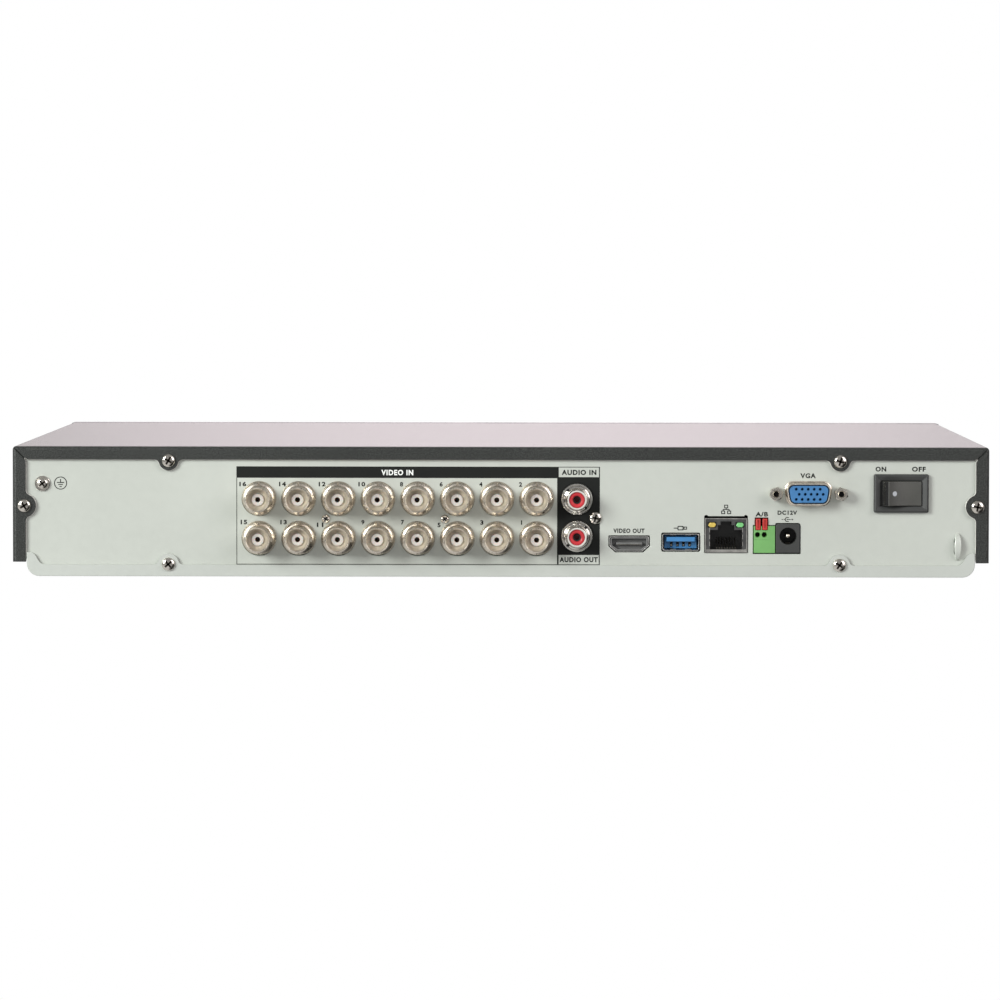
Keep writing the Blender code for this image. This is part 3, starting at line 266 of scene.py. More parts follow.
def block(low, high, edge=0.0, segments=2, at=(0, 0, 0), bends=lambda ends: True):
    """A block whose two corners are counted from a point. The edges are rounded whose ends pass
    the test of bends."""
    low, high = (metres([a + b for a, b in zip(at, corner)]) for corner in (low, high))
    shape = bmesh.new()
    place = Matrix.Translation((low + high) / 2) @ Matrix.Diagonal((*(high - low), 1))
    bmesh.ops.create_cube(shape, size=1, matrix=place)
    if edge:
        chosen = [side for side in shape.edges if bends([vertex.co / MM for vertex in side.verts])]
        bmesh.ops.bevel(
            shape, geom=chosen, offset=edge * MM, segments=segments, profile=0.5, affect="EDGES"
        )
    return from_bmesh(shape)


def lathe(profile, at=(0, 0), sides=48, axis="Y", start=0):
    """A turned shape. The profile is (radius, place along the axis from start). It is open where
    both its ends are on the axis, and a closed ring otherwise."""
    shape = bmesh.new()
    rings = []
    for radius, along in profile:
        ring = circle(0, 0, radius, sides) if radius else [(0, 0)]
        rings.append([shape.verts.new(metres((x, y, start + along))) for x, y in ring])
    pairs = list(zip(rings, rings[1:]))
    if len(rings[0]) > 1:
        pairs.append((rings[-1], rings[0]))
    for a, b in pairs:
        for i in range(sides):
            j = (i + 1) % sides
            corners = (a[i % len(a)], a[j % len(a)], b[j % len(b)], b[i % len(b)])
            corners = list(dict.fromkeys(corners))
            if len(corners) > 2:
                shape.faces.new(corners)
    mesh = from_bmesh(shape)
    u, v = at
    # The profile's axis is Z at first. A turn about X takes it to Y, and one about Y takes it to X.
    place, turn = {
        "X": ((0, u, v), Matrix.Rotation(math.pi / 2, 4, "Y")),
        "Y": ((u, 0, v), Matrix.Rotation(-math.pi / 2, 4, "X")),
        "Z": ((u, v, 0), Matrix.Identity(4)),
    }[axis]
    mesh.transform(Matrix.Translation(metres(place)) @ turn)
    return mesh


def rod(radius, low, high, at=(0, 0), sides=24, axis="Y"):
    return lathe([(0, low), (radius, low), (radius, high), (0, high)], at, sides, axis)


def loft(rings):
    """A closed ring of surface through outlines (points, y) of equal length, in the XZ plane."""
    shape = bmesh.new()
    loops = [[shape.verts.new(metres((x, y, z))) for x, z in outline] for outline, y in rings]
    for a, b in zip(loops, loops[1:] + loops[:1]):
        for i in range(len(a)):
            j = (i + 1) % len(a)
            shape.faces.new((a[i], a[j], b[j], b[i]))
    return from_bmesh(shape)


def solid(rings):
    """A loft of three or more rings with both its ends closed."""
    shape = bmesh.new()
    shape.from_mesh(loft(rings))
    shape.verts.ensure_lookup_table()
    count = len(rings[0][0])
    first, last = shape.verts[:count], shape.verts[-count:]
    between = {frozenset(pair) for pair in zip(first, last)}
    joins = [face for face in shape.faces if any(frozenset(e.verts) in between for e in face.edges)]
    bmesh.ops.delete(shape, geom=joins, context="FACES")
    for loop in (first, last):
        shape.faces.new(loop)
    return from_bmesh(shape)


def joined(*meshes):
    shape = bmesh.new()
    for mesh in meshes:
        shape.from_mesh(mesh)
    made = bpy.data.meshes.new("shape")
    shape.to_mesh(made)
    shape.free()
    return made


def cut(mesh, *tools, operation="DIFFERENCE"):
    obj = placed(mesh)
    helpers = [placed(tool) for tool in tools]
    for helper in helpers:
        boolean = obj.modifiers.new("cut", "BOOLEAN")
        boolean.operation = operation
        boolean.object = helper
    made = evaluated(obj)
    for helper in helpers:
        bpy.data.objects.remove(helper)
    return made


def softened(mesh, width):
    """The mesh with its sharp edges rounded."""
    obj = placed(mesh)
    bevel = obj.modifiers.new("bevel", "BEVEL")
    bevel.width = width * MM
    bevel.segments = 2
    bevel.limit_method = "ANGLE"
    bevel.angle_limit = math.radians(40)
    return evaluated(obj)


def turned(mesh, angle, axis="Y"):
    mesh.transform(Matrix.Rotation(angle, 4, axis))
    return mesh


def moved(mesh, by):
    made = mesh.copy()
    made.transform(Matrix.Translation(metres(by)))
    return made


def wire(route, radius):
    curve = bpy.data.curves.new("wire", "CURVE")
    curve.dimensions = "3D"
    curve.bevel_depth = radius * MM
    curve.bevel_resolution = 3
    curve.use_fill_caps = True
    add_spline(curve, route, False)
    return welded(evaluated(placed(curve)))


def lettering(words, x, z, cap_height, width, y, thick):
    """Words in the panel's plane, centred on (x, z) and spread to a width, with their faces at
    y - thick."""
    font = bpy.data.curves.new("words", "FONT")
    font.body = words
    font.align_x = "CENTER"
    font.align_y = "BOTTOM_BASELINE"
    font.resolution_u = 3
    font.offset = 0.04
    font.space_character = 1.16
    mesh = evaluated(placed(font))
    points = [vertex.co for vertex in mesh.vertices]
    low_x, high_x = min(p.x for p in points), max(p.x for p in points)
    low_y, high_y = min(p.y for p in points), max(p.y for p in points)
    mesh.transform(
        Matrix.Translation(metres((x, y, z)))
        @ PLANES["XZ"]
        @ Matrix.Diagonal((width * MM / (high_x - low_x), cap_height * MM / (high_y - low_y), 1, 1))
        @ Matrix.Translation((-(low_x + high_x) / 2, -(low_y + high_y) / 2, 0))
    )
    shape = bmesh.new()
    shape.from_mesh(mesh)
    bmesh.ops.remove_doubles(shape, verts=shape.verts, dist=0.0005 * MM)
    made = bmesh.ops.extrude_face_region(shape, geom=shape.faces[:])
    for item in made["geom"]:
        if isinstance(item, bmesh.types.BMVert):
            item.co.y -= thick * MM
    return from_bmesh(shape)


def finished(name, mesh, material, node=None, body="case", sharp=35, weight=50):
    """The mesh as a piece of the model. It rides on a body and may stand for a CAD node. A weight
    of 100 keeps a large flat face flat up to its rounded rim."""
    mesh.shade_smooth()
    mesh.set_sharp_from_angle(angle=math.radians(sharp))
    shaped = placed(mesh)
    normals = shaped.modifiers.new("normals", "WEIGHTED_NORMAL")
    normals.keep_sharp = True
    normals.weight = weight
    mesh = evaluated(shaped)
    mesh.name = name
    mesh.materials.clear()
    mesh.materials.append(material)
    obj = bpy.data.objects.new(name, mesh)
    bpy.context.scene.collection.objects.link(obj)
    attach(obj, body)
    if node:
        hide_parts(node)


# ---- Materials ----


def add_node(tree, kind, inputs, **settings):
    """The outputs of a new node. An input is a number, a colour or another node's output."""
    node = tree.nodes.new("ShaderNode" + kind)
    for name, value in settings.items():
        setattr(node, name, value)
    for socket, value in inputs.items():
        if isinstance(value, bpy.types.NodeSocket):
            tree.links.new(value, node.inputs[socket])
        else:
            node.inputs[socket].default_value = value
    return node.outputs


def map_range(tree, value, start, end, low, high):
    """value mapped from start..end to low..high."""
    return add_node(tree, "MapRange", {0: value, 1: start, 2: end, 3: low, 4: high})["Result"]


def shade(colour, factor):
    return (*(min(channel * factor, 1) for channel in colour), 1)


class Surface:
    """A material's nodes, made in short calls."""

    def __init__(self, name):
        self.material = bpy.data.materials.new(name)
        self.material.use_nodes = True
        self.tree = self.material.node_tree
        self.shader = self.tree.nodes["Principled BSDF"]
        self.place = add_node(self.tree, "TexCoord", {})["Object"]

    def noise(self, size, detail=2.0, roughness=0.5, distortion=0.0, stretch=None):
        """Noise whose features are about size across."""
        place = self.place
        if stretch:
            place = add_node(self.tree, "Mapping", {"Vector": place, "Scale": stretch})["Vector"]
        inputs = {
            "Vector": place,
            "Scale": 1 / (size * MM),
            "Detail": detail,
            "Roughness": roughness,
            "Distortion": distortion,
        }
        return add_node(self.tree, "TexNoise", inputs)["Fac"]

    def cells(self, size):
        inputs = {"Vector": self.place, "Scale": 1 / (size * MM)}
        return add_node(self.tree, "TexVoronoi", inputs)["Distance"]

    def spread(self, value, low, high, start=0.3, end=0.7):
        return map_range(self.tree, value, start, end, low, high)

    def sum(self, first, second, weight=1.0):
        inputs = {0: second, 1: weight, 2: first}
        return add_node(self.tree, "Math", inputs, operation="MULTIPLY_ADD")["Value"]

    def made(self, colour, tone, dark, light, rough, metallic, height, relief):
        """The material: its colour goes from dark to light times itself as tone goes from 0 to 1,
        and height is raised by relief."""
        inputs = {0: tone, 6: shade(colour, dark), 7: shade(colour, light)}
        mixed = add_node(self.tree, "Mix", inputs, data_type="RGBA")[2]
        bump = {"Height": height, "Strength": 1.0, "Distance": relief * MM}
        normal = add_node(self.tree, "Bump", bump)["Normal"]
        for output, socket in ((mixed, "Base Color"), (rough, "Roughness"), (normal, "Normal")):
            self.tree.links.new(output, self.shader.inputs[socket])
        self.shader.inputs["Metallic"].default_value = metallic
        return self.material


def finish(
    name, colour, roughness, metallic=0.0, patch=20, vary=0.06, rough_vary=0.05, grain=0.3,
    relief=0.004, scratches=0.0, **sockets
):
    """A finish whose colour and roughness drift over patches, with a fine raised grain, and
    scratches if it has them. Further sockets of the shader are set by name."""
    surface = Surface(name)
    drift = surface.noise(patch, 3)
    height = surface.noise(grain, 3, 0.6)
    rough = surface.spread(drift, roughness - rough_vary, roughness + rough_vary)
    rough = surface.sum(rough, height, rough_vary * 0.6)
    if scratches:
        marks = surface.noise(1, 6, 0.75, 0.6, stretch=(3.0, 1.0, 0.35))
        rough = surface.sum(rough, surface.spread(marks, -0.5, 0.5), scratches)
        height = surface.sum(height, marks, 1.5)
    for socket, value in sockets.items():
        surface.shader.inputs[socket.replace("_", " ")].default_value = value
    tone = surface.spread(drift, 0, 1)
    return surface.made(colour, tone, 1 - vary, 1 + vary, rough, metallic, height, relief)


def coated_steel(name, colour):
    """Zinc-coated sheet under a clear satin coat: faint spangle and rolling marks."""
    surface = Surface(name)
    drift = surface.noise(70)
    spangle = surface.spread(surface.noise(2.5, 4, 0.6), -0.5, 0.5)
    tone = surface.sum(surface.spread(drift, 0.2, 0.8), spangle, 0.25)
    rough = surface.sum(surface.spread(drift, 0.33, 0.39), spangle, 0.06)
    rolled = surface.noise(0.5, 3, stretch=(0.12, 1.0, 1.0))
    height = surface.sum(surface.noise(0.35), rolled, 0.7)
    return surface.made(colour, tone, 0.965, 1.03, rough, 0.30, height, 0.0035)


def powder_coat(name, colour, roughness):
    """A textured powder coat: fine beads that vary a little in tone."""
    surface = Surface(name)
    fine = surface.noise(0.3)
    speckle = surface.spread(surface.noise(0.46, 1), -0.5, 0.5, 0.38, 0.62)
    tone = surface.sum(surface.spread(surface.noise(40), 0.25, 0.5), speckle)
    rough = surface.spread(fine, roughness - 0.06, roughness + 0.06)
    height = surface.sum(surface.cells(0.42), fine, 0.8)
    return surface.made(colour, tone, 0.6, 1.7, rough, 0.0, height, 0.03)


def plated(name, colour, roughness, scratches=0.25, relief=0.004, grime=0.3):
    """Plated metal whose tone drifts in patches, with handling scratches."""
    surface = Surface(name)
    marks = surface.noise(0.9, 8, 0.7, 1.2)
    streaks = surface.spread(marks, -0.5, 0.5)
    patches = surface.noise(3, 3)
    tone = surface.sum(surface.spread(patches, 0.25, 0.75), streaks, grime)
    rough = surface.spread(patches, roughness - 0.05, roughness + 0.05)
    rough = surface.sum(rough, streaks, scratches)
    height = surface.sum(surface.noise(0.25, 4), marks, 1.2)
    return surface.made(colour, tone, 0.72, 1.12, rough, 1.0, height, relief)


PANEL_GREY = coated_steel("panel_grey", (0.60, 0.625, 0.575))
TRAY_GREY = coated_steel("tray_grey", (0.585, 0.61, 0.57))
COVER_BLACK = powder_coat("cover_black", (0.030, 0.032, 0.030), 0.32)
FRONT_BLACK = finish("front_black", (0.022, 0.022, 0.024), 0.38, grain=0.5, relief=0.012, vary=0.1)
SMOKED = finish("smoked_window", (0.012, 0.012, 0.014), 0.06, relief=0.0, rough_vary=0.02, Coat_Weight=0.5)
RUBBER = finish("rubber", (0.018, 0.018, 0.018), 0.75, grain=0.6, relief=0.03, vary=0.2)
SCREW_STEEL = plated("screw_steel", (0.72, 0.68, 0.62), 0.17, relief=0.006)
NICKEL = plated("nickel", (0.76, 0.69, 0.59), 0.33, 0.3, 0.008)
HEX_NICKEL = plated("hex_nickel", (0.66, 0.62, 0.55), 0.24, 0.3, 0.008)
# Near black: painted shade in screw crosses, terminal clamps and the power jack's spring.
RECESS_SHADE = plated("recess_painted_shade", (0.030, 0.026, 0.022), 0.5, 0.2)
CHROME = plated("chrome", (0.80, 0.78, 0.74), 0.15, 0.06, 0.0015, 0.10)
STAINLESS = plated("stainless", (0.60, 0.59, 0.57), 0.26, 0.2, 0.003)
DISH_NICKEL = finish("dish_nickel", (0.66, 0.60, 0.50), 0.36, 0.55, 2, 0.18, scratches=0.15)
# A bronze darkened with painted shade, for the contacts deep in the jacks.
SHADED_BRONZE = plated("bronze_painted_shade", (0.16, 0.10, 0.06), 0.35, 0.15, 0.002, 0.15)
SHIELD_STEEL = plated("shield_steel", (0.54, 0.53, 0.50), 0.34, 0.2)
CONTACT = plated("contact", (0.34, 0.32, 0.28), 0.3, 0.15, 0.002, 0.15)
BLACK_PLASTIC = finish("black_plastic", (0.040, 0.041, 0.040), 0.42, grain=0.35, relief=0.010, vary=0.12)
SWITCH_BLACK = finish("switch_black", (0.046, 0.047, 0.046), 0.36, relief=0.010, vary=0.10)
ROCKER_BLACK = finish("rocker_black", (0.072, 0.071, 0.065), 0.34, relief=0.018, vary=0.2)
SOCKET_GREY = finish("socket_grey", (0.16, 0.161, 0.158), 0.38, 0, 3, 0.15, grain=0.25, relief=0.006)
PORT_GREY = finish("port_grey", (0.050, 0.050, 0.050), 0.40, 0, 3, 0.2, grain=0.25, relief=0.006)
GLOSS_BLACK = finish("gloss_black", (0.010, 0.010, 0.010), 0.18, grain=0.5, relief=0.002, vary=0.2)
# Near black for painted shade in holes, slots and notches.
HOLE_SHADE = finish("hole_painted_shade", (0.006, 0.006, 0.006), 0.7, vary=0.2)
WHITE_PLASTIC = finish(
    "white_plastic", (0.60, 0.56, 0.525), 0.42, 0, 3, 0.05, Subsurface_Weight=0.15, Subsurface_Scale=0.4 * MM
)
RED_PLASTIC = finish("red_plastic", (0.47, 0.026, 0.034), 0.32, 0, 4, 0.12, grain=0.25, relief=0.003)
LEVER_RED = finish("lever_red", (0.46, 0.035, 0.030), 0.34, 0, 2, 0.12, grain=0.25)
BLUE_PLASTIC = finish("blue_plastic", (0.045, 0.172, 0.385), 0.42, 0, 5, 0.08)
USB_BLUE = finish("usb_blue", (0.050, 0.205, 0.455), 0.36, 0, 5, 0.08)
GREEN_PLASTIC = finish("green_plastic", (0.155, 0.372, 0.116), 0.45, 0, 6, 0.07, relief=0.005)
INK = finish(
    "black_ink", (0.008, 0.009, 0.008), 0.6, 0, 8, 0.15, grain=0.2, relief=0.003, Specular_IOR_Level=0.22
)
WHITE_INK = finish("white_ink", (0.80, 0.82, 0.80), 0.5, 0, 5, 0.05, grain=0.2)
# A light, less shiny finish: painted highlight on the lid's cut edge and on the audio jacks' rims.
EDGE_HIGHLIGHT = finish("edge_painted_highlight", (0.70, 0.68, 0.64), 0.40, 0.3, 10)
DOT_WHITE = finish("dot_white", (0.46, 0.48, 0.51), 0.4, 0, 2, 0.08, grain=0.2)


def lamp_finish(name, colour, glow):
    return finish(name, colour, 0.3, 0, 2, 0.15, Emission_Color=(*glow, 1), Emission_Strength=0.04)


LAMP_YELLOW = lamp_finish("lamp_yellow", (0.62, 0.46, 0.10), (0.8, 0.55, 0.12))
LAMP_GREEN = lamp_finish("lamp_green", (0.18, 0.52, 0.19), (0.2, 0.7, 0.25))
BOARD_GREEN = finish("board_green", (0.015, 0.12, 0.05), 0.4, 0, 6, 0.25, grain=0.8, relief=0.02)
ALUMINIUM = finish("aluminium", (0.62, 0.63, 0.64), 0.38, 1.0, scratches=0.2)
LEAD_BLACK = finish("lead_black", (0.02, 0.02, 0.022), 0.5, 0, 4, 0.15)


# ---- The case ----


def cover():
    """The lid: a bent sheet with rounded bends, mitred corners, screw tabs and side slots."""

    def bent(ends):
        on_top = all(end.z > TOP - 1 for end in ends)
        at_rear = all(end.y < REAR + 1 for end in ends)
        at_front = all(end.y > SHEET_FRONT - 1 for end in ends)
        below = all(end.z < SKIRT + 1 for end in ends)
        return (on_top and not at_front) or (at_rear and not below)

    skin = block((-HALF, REAR, SKIRT), (HALF, SHEET_FRONT, TOP), 1.5, 5, bends=bent)
    inside = block(
        (-HALF + SHEET, REAR + SHEET, SKIRT - 5), (HALF - SHEET, SHEET_FRONT + 5, TOP - SHEET), 0.5
    )
    edge, side = TOP - 5.1, HALF - 5.1
    across = []
    for where in ("top_left", "top_right"):
        x, z = COVER_SCREWS[where]
        across += tab(x, edge, z, 3.75)
    left_x, left_z = COVER_SCREWS["side_left"]
    right_x, right_z = COVER_SCREWS["side_right"]
    left = [(x, z) for z, x in tab(left_z, side, -left_x, 4.5)]
    right = [(x, z) for z, x in tab(right_z, side, right_x, 4.5)]
    relief = [
        (side, edge - 0.6),
        (side + 0.4, edge - 0.2),
        (side + 0.4, edge + 0.4),
        (side - 0.2, edge + 0.4),
        (side - 0.6, edge),
    ]
    opening = [(side, SKIRT - 5), *right, *relief, *reversed(across)]
    opening += [*mirrored(relief), *mirrored(left), (-side, SKIRT - 5)]
    window = slab(REAR - 1, REAR + 3, opening)
    # A light line along the opening: the bare cut edge of the sheet, lightened as a painted highlight.
    rim = wire([(x, REAR + 0.55, max(z, SKIRT + 0.4)) for x, z in opening], 0.2)
    finished("cover_cut_edge", rim, EDGE_HIGHLIGHT)
    mitres = []
    for sign in (-1, 1):
        slit = block((-0.26, REAR - 1, -0.5), (0.26, REAR + 0.8, 8.5))
        mitres.append(moved(turned(slit, sign * math.pi / 4), (sign * side, 0, edge)))
    pitch, slot = 7.0, 2.6
    vents = [
        slab(
            -HALF - 1,
            HALF + 1,
            rounded_rectangle(FAN[0] + pitch * (i - 4.5), 26.5, slot, 21, slot / 2.01),
            plane="YZ",
        )
        for i in range(10)
    ]
    lid = cut(skin, inside, window, *mitres, joined(*vents))
    finished("cover", lid, COVER_BLACK, "top_cover", weight=100)


def tray():
    """The base: a folded sheet with a rear flange that has screw tabs and swept ends."""
    bend, lip = 4.9, 8
    wall_top, front = TRAY_HIGH.z, TRAY_HIGH.y
    outer = [(TRAY_HALF, BASE, bend), (TRAY_HALF, wall_top, 0)]
    skin = slab(REAR, front, rounded([*outer, *mirrored(outer)], 10), edge=0.25, segments=3)
    inner = TRAY_HALF - SHEET
    room = [
        (inner, BASE + SHEET, bend - SHEET),
        (inner, wall_top - SHEET, 0),
        (TRAY_HALF - lip, wall_top - SHEET, 0),
        (TRAY_HALF - lip, wall_top + 5, 0),
    ]
    inside = slab(REAR + SHEET, front - SHEET, rounded([*room, *mirrored(room)], 8))
    flange_top, ends = BASE + 4.45, 12.2
    along = []
    for x, z in TRAY_SCREWS.values():
        along += [(u, 2 * flange_top - v, 0) for u, v in tab(x, flange_top, 2 * flange_top - z)]
    corner = [
        (TRAY_HALF + 1, TOP, 0),
        (TRAY_HALF + 1, ends, 0),
        (TRAY_HALF - 2.6, ends, 2.6),
        (TRAY_HALF - 5.4, flange_top, 3.0),
    ]
    above = rounded([*corner, *reversed(along), *mirrored(corner)], 8)
    window = slab(REAR - 1, REAR + SHEET + 0.2, above)
    notch = block((-TRAY_HALF - 1, REAR + SHEET + 0.1, SKIRT - GAP), (TRAY_HALF + 1, INSIDE + 5.5, TOP))
    fan_hole = rod(18.5, -TRAY_HALF - 1, -TRAY_HALF + 2, FAN, 48, "X")
    intake = block((180, -64, 16), (184, 4, 37))
    behind_window = block((66, 120, 32), (166, 135, 42))
    behind_port = block((-158, 120, 13.5), (-142, 135, 22.5))
    slots = [
        slab(2, 5, rounded_rectangle(x + 1.5, 77, 3, 30, 1.49), plane="XY") for x in range(-120, 130, 40)
    ]
    shell = cut(skin, inside, window, notch, fan_hole, intake, behind_window, behind_port, joined(*slots))
    finished("tray", shell, TRAY_GREY, "bottom_tray", weight=100)


def tie_loop(x, z):
    """A bow of sheet pressed out of the panel, thinner towards its ends."""
    half, face = 5.3, PANEL_FACE + 0.3
    rise = PANEL_FACE - PANEL_LOW.y

    def bow(reach, tall, steps):
        angles = [math.pi * i / 24 for i in steps]
        return [(face - math.sin(a) * reach, z + math.cos(a) * tall) for a in angles]

    outline = bow(rise + 0.3, half, range(25)) + bow(rise - 0.7, half - 1.6, range(24, -1, -1))
    loop = slab(x - 1.4, x + 1.4, outline, plane="YZ", edge=0.45, segments=4)
    for vertex in loop.vertices:
        along = min(abs(vertex.co.z / MM - z) / half, 1)
        vertex.co.x = (x + (vertex.co.x / MM - x) * (1 - 0.55 * along**2)) * MM
    return loop


def panel():
    """The connector panel, and the tie loop that is pressed out of it."""
    wide, narrow = PANEL_HIGH.x, TRAY_HALF - 4
    right_half = [
        (narrow, PANEL_LOW.z),
        (narrow, SKIRT + 1),
        (wide, SKIRT + 1),
        (wide, PANEL_HIGH.z),
    ]
    left, right, low, high = 96.9, 115.2, 11.9, 23.8
    lever_left, lever_right = 97.6, 102.8
    terminal_and_power = rounded(
        [
            (left, low, 0),
            (right, low, 0),
            (right, high, 1.0),
            (105.5, high, 0.6),
            (105.5, 23, 0),
            (lever_right, 23, 0),
            (lever_right, 25.9, 0),
            (lever_left, 25.9, 0),
            (lever_left, 23, 0),
            (left, 23, 0),
        ]
    )
    x, z = LAN
    ear, side = 7.6, 8.35
    lan_hole = [
        (x - side, z - 7),
        (x + side, z - 7),
        *arc(x + ear, z + 6.85, 0.8, -20, 155, 12),
        *arc(x - ear, z + 6.85, 0.8, 25, 200, 12),
    ]
    loop_x, loop_z = 175.5, 14.8
    sheet = slab(
        PANEL_FACE,
        PANEL_HIGH.y,
        [*right_half, *mirrored(right_half)],
        *[circle(x, z, 6.65) for x, _, z in JACK_PLACES],
        *[circle(x, z, 6.4) for x, z in AUDIO.values()],
        hd_outline(*HD_VIDEO, 15.9, 6.5),
        rounded_rectangle(*USB, 14.9, 7.3, 0.6),
        lan_hole,
        terminal_and_power,
        d_outline(*VGA, 17.6, 9.4, 3),
        rectangle(*SWITCH, 19.6, 13.4),
        rounded_rectangle(loop_x - 0.05, loop_z, 2.6, 6.4, 0.9),
        edge=0.15,
    )
    whole = joined(sheet, tie_loop(loop_x, loop_z))
    finished("connector_panel", whole, PANEL_GREY, "rear_panel", weight=100)


recesses = []


def cross_blade(levels):
    """A bar through (length, width, y) levels, for one arm of a cross recess."""
    return solid([(rectangle(0, 0, long, wide), y) for long, wide, y in levels])


def screw_mesh(head, at, spin, washer=None, seat=SEAT):
    """A pan-head screw with a cross recess, whose floor, darkened with painted shade, goes to the list of
    recesses. Its seat is at y = seat."""
    rise, depth = 0.58 * head, 0.85
    base = 0.7 if washer else 0.0
    profile = []
    for i in range(11):
        angle = math.pi / 2 * i / 10
        out = base + rise * (0.18 + 0.82 * math.cos(angle) ** 0.75)
        profile.append((head * math.sin(angle) ** 0.9, out))
    profile += [(head, base + 0.06 * rise), (head * 0.96, base)]
    if washer:
        profile += [(washer * 0.94, base), (washer, base - 0.14), (washer, 0.08), (washer * 0.97, 0)]
    profile += [(0.55 * head, 0), (0.55 * head, -5.0), (0, -5.0)]
    body = lathe([(radius, -out) for radius, out in profile], sides=40)
    long, wide = 1.40 * head, 0.33 * head
    deep, out = base + (1 - depth) * rise, base + 1.6 * rise
    tools, floors = [], []
    for turn in (0, math.pi / 2):
        blade = cross_blade(
            [
                (long, wide, -out),
                (long * 0.94, wide * 0.9, -(base + 0.9 * rise)),
                (long * 0.6, wide * 0.7, turn * 0.005 - deep),
            ]
        )
        floor = cross_blade(
            [
                (long * 0.88, wide * 0.92, -(base + 0.52 * rise)),
                (long * 0.74, wide * 0.85, -(base + 0.35 * rise)),
                (long * 0.60, wide * 0.75, 0.05 - deep),
            ]
        )
        tools.append(turned(blade, turn))
        floors.append(turned(floor, turn))
    tip = [(0, -out), (0.20 * head, -(base + rise)), (0.10 * head, 0.1 - deep), (0, 0.1 - deep)]
    cone = lathe(tip, sides=16)
    place = (at[0], seat, at[1])
    recesses.append(moved(turned(joined(*floors), spin), place))
    return moved(turned(cut(body, *tools, cone), spin), place)


def fasteners():
    random.seed(7)

    def screw(name, node, mesh):
        finished(f"screw_{name}", mesh, SCREW_STEEL, node)

    for where, at in (*COVER_SCREWS.items(), *TRAY_SCREWS.items()):
        mesh = screw_mesh(2.55, at, random.uniform(0.1, 1.5), seat=REAR - 0.05)
        screw(where, f"case_screw_{where}", mesh)
    screw("ground", "ground_screw", screw_mesh(2.2, middle("ground_screw"), 0.9, 2.95))
    for i in (1, 2):
        node = f"video_jack_screw_{i}"
        screw(f"jack_{i}", node, screw_mesh(1.65, middle(node), 0.5 * i))
    screw("audio", "audio_jack_screw", screw_mesh(2.4, middle("audio_jack_screw"), 0.25))
    # The floors of the crosses are near black: painted shade.
    finished("screw_recesses", joined(*recesses), RECESS_SHADE)


# ---- The jacks ----


def jack_barrel(teeth=60):
    """One bayonet jack around the Y axis, with a knurled ring at its root and two lugs."""
    bore = [(2.42, 5.0), (4.12, 5.0), (4.12, 0.35)]
    lip = [(4.3, 0.1), (4.45, 0), (4.65, 0.03), (4.82, 0.25), (4.85, 0.6)]
    groove = [(4.85, 3.0), (4.72, 3.15), (4.72, 3.55), (4.85, 3.7), (4.85, 9.0)]
    flare = [(4.95, 9.5), (5.2, 9.75), (5.55, 9.85), (5.7, 9.95), (5.95, 10.1), (6.15, 10.25), (6.3, 10.5)]
    root = [(6.35, 10.8), (6.35, 11.5), (6.2, 11.65), (6.2, 13.6), (2.42, 13.6)]
    barrel = lathe(bore + lip + groove + flare + root, sides=2 * teeth, start=JACK_MOUTH)
    for vertex in barrel.vertices:
        x, y, z = vertex.co
        out = math.hypot(x, z)
        if out > 6.1 * MM and y < (JACK_MOUTH + 11.55) * MM:
            step = round(math.atan2(z, x) / math.tau * 2 * teeth)
            scale = 1 - (0.13 * MM if step % 2 else 0) / out
            vertex.co = (x * scale, y, z * scale)
    lugs, slots = [], []
    for side in (-1, 1):
        lug = [(0, side * 4.3), (0.95, side * 4.3), (0.95, side * 5.32), (0.8, side * 5.5), (0, side * 5.5)]
        lugs.append(lathe(lug, (JACK_MOUTH + 5.2, 0), 24, "X"))
        slots.append(block((-0.3, 9.0, -0.65), (0.3, 11.2, 0.65), at=(0, JACK_MOUTH, side * 5.75)))
    return joined(cut(barrel, *slots), *lugs)


def at_all_jacks(mesh):
    return joined(*[moved(mesh, at) for at in JACK_PLACES])


def video_jacks():
    barrel = jack_barrel()
    for node, x in zip(JACKS, JACK_COLUMNS):
        low, high = box(node)
        body = block((low.x, INSIDE, low.z), high, 0.4)
        jacks = [moved(barrel, (x, 0, z)) for z in JACK_ROWS]
        finished(node.replace("video_jacks", "jacks"), joined(body, *jacks), NICKEL, node)
    low, high = box("video_jack_insulator")
    back = high.y - 5 - low.y
    post = [
        (0, 4.5), (0.98, 4.5), (0.98, 0.2), (1.12, 0.02), (1.3, 0),
        (2.15, 0), (2.3, 0.06), (2.36, 0.25), (2.36, back), (0, back),
    ]
    contact = [(0.52, 4.4), (0.52, 1.3), (0.62, 1.0), (0.84, 0.7), (0.965, 0.75), (0.965, 4.4)]
    slit = block((-0.13, 0, -1), (0.13, 3.5, 1), at=(0, low.y, 0))
    contact = cut(lathe(contact, sides=24, start=low.y), slit)
    dish = [
        (2.43, 4.8), (2.43, 3.5), (2.8, 3.42), (3.2, 3.1), (3.55, 2.55),
        (3.85, 1.75), (4.02, 1.0), (4.1, 0.5), (4.11, 0.5), (4.11, 4.8),
    ]
    finished("jack_dishes", at_all_jacks(lathe(dish, sides=64, start=JACK_MOUTH)), DISH_NICKEL)
    moulding = block((low.x, high.y - 6, low.z), high, 0.4)
    posts = joined(moulding, at_all_jacks(lathe(post, start=low.y)))
    finished("jack_posts", posts, WHITE_PLASTIC, "video_jack_insulator")
    # The contacts are their own bronze, darkened with painted shade deep in the holes.
    finished("jack_contacts", at_all_jacks(contact), SHADED_BRONZE)


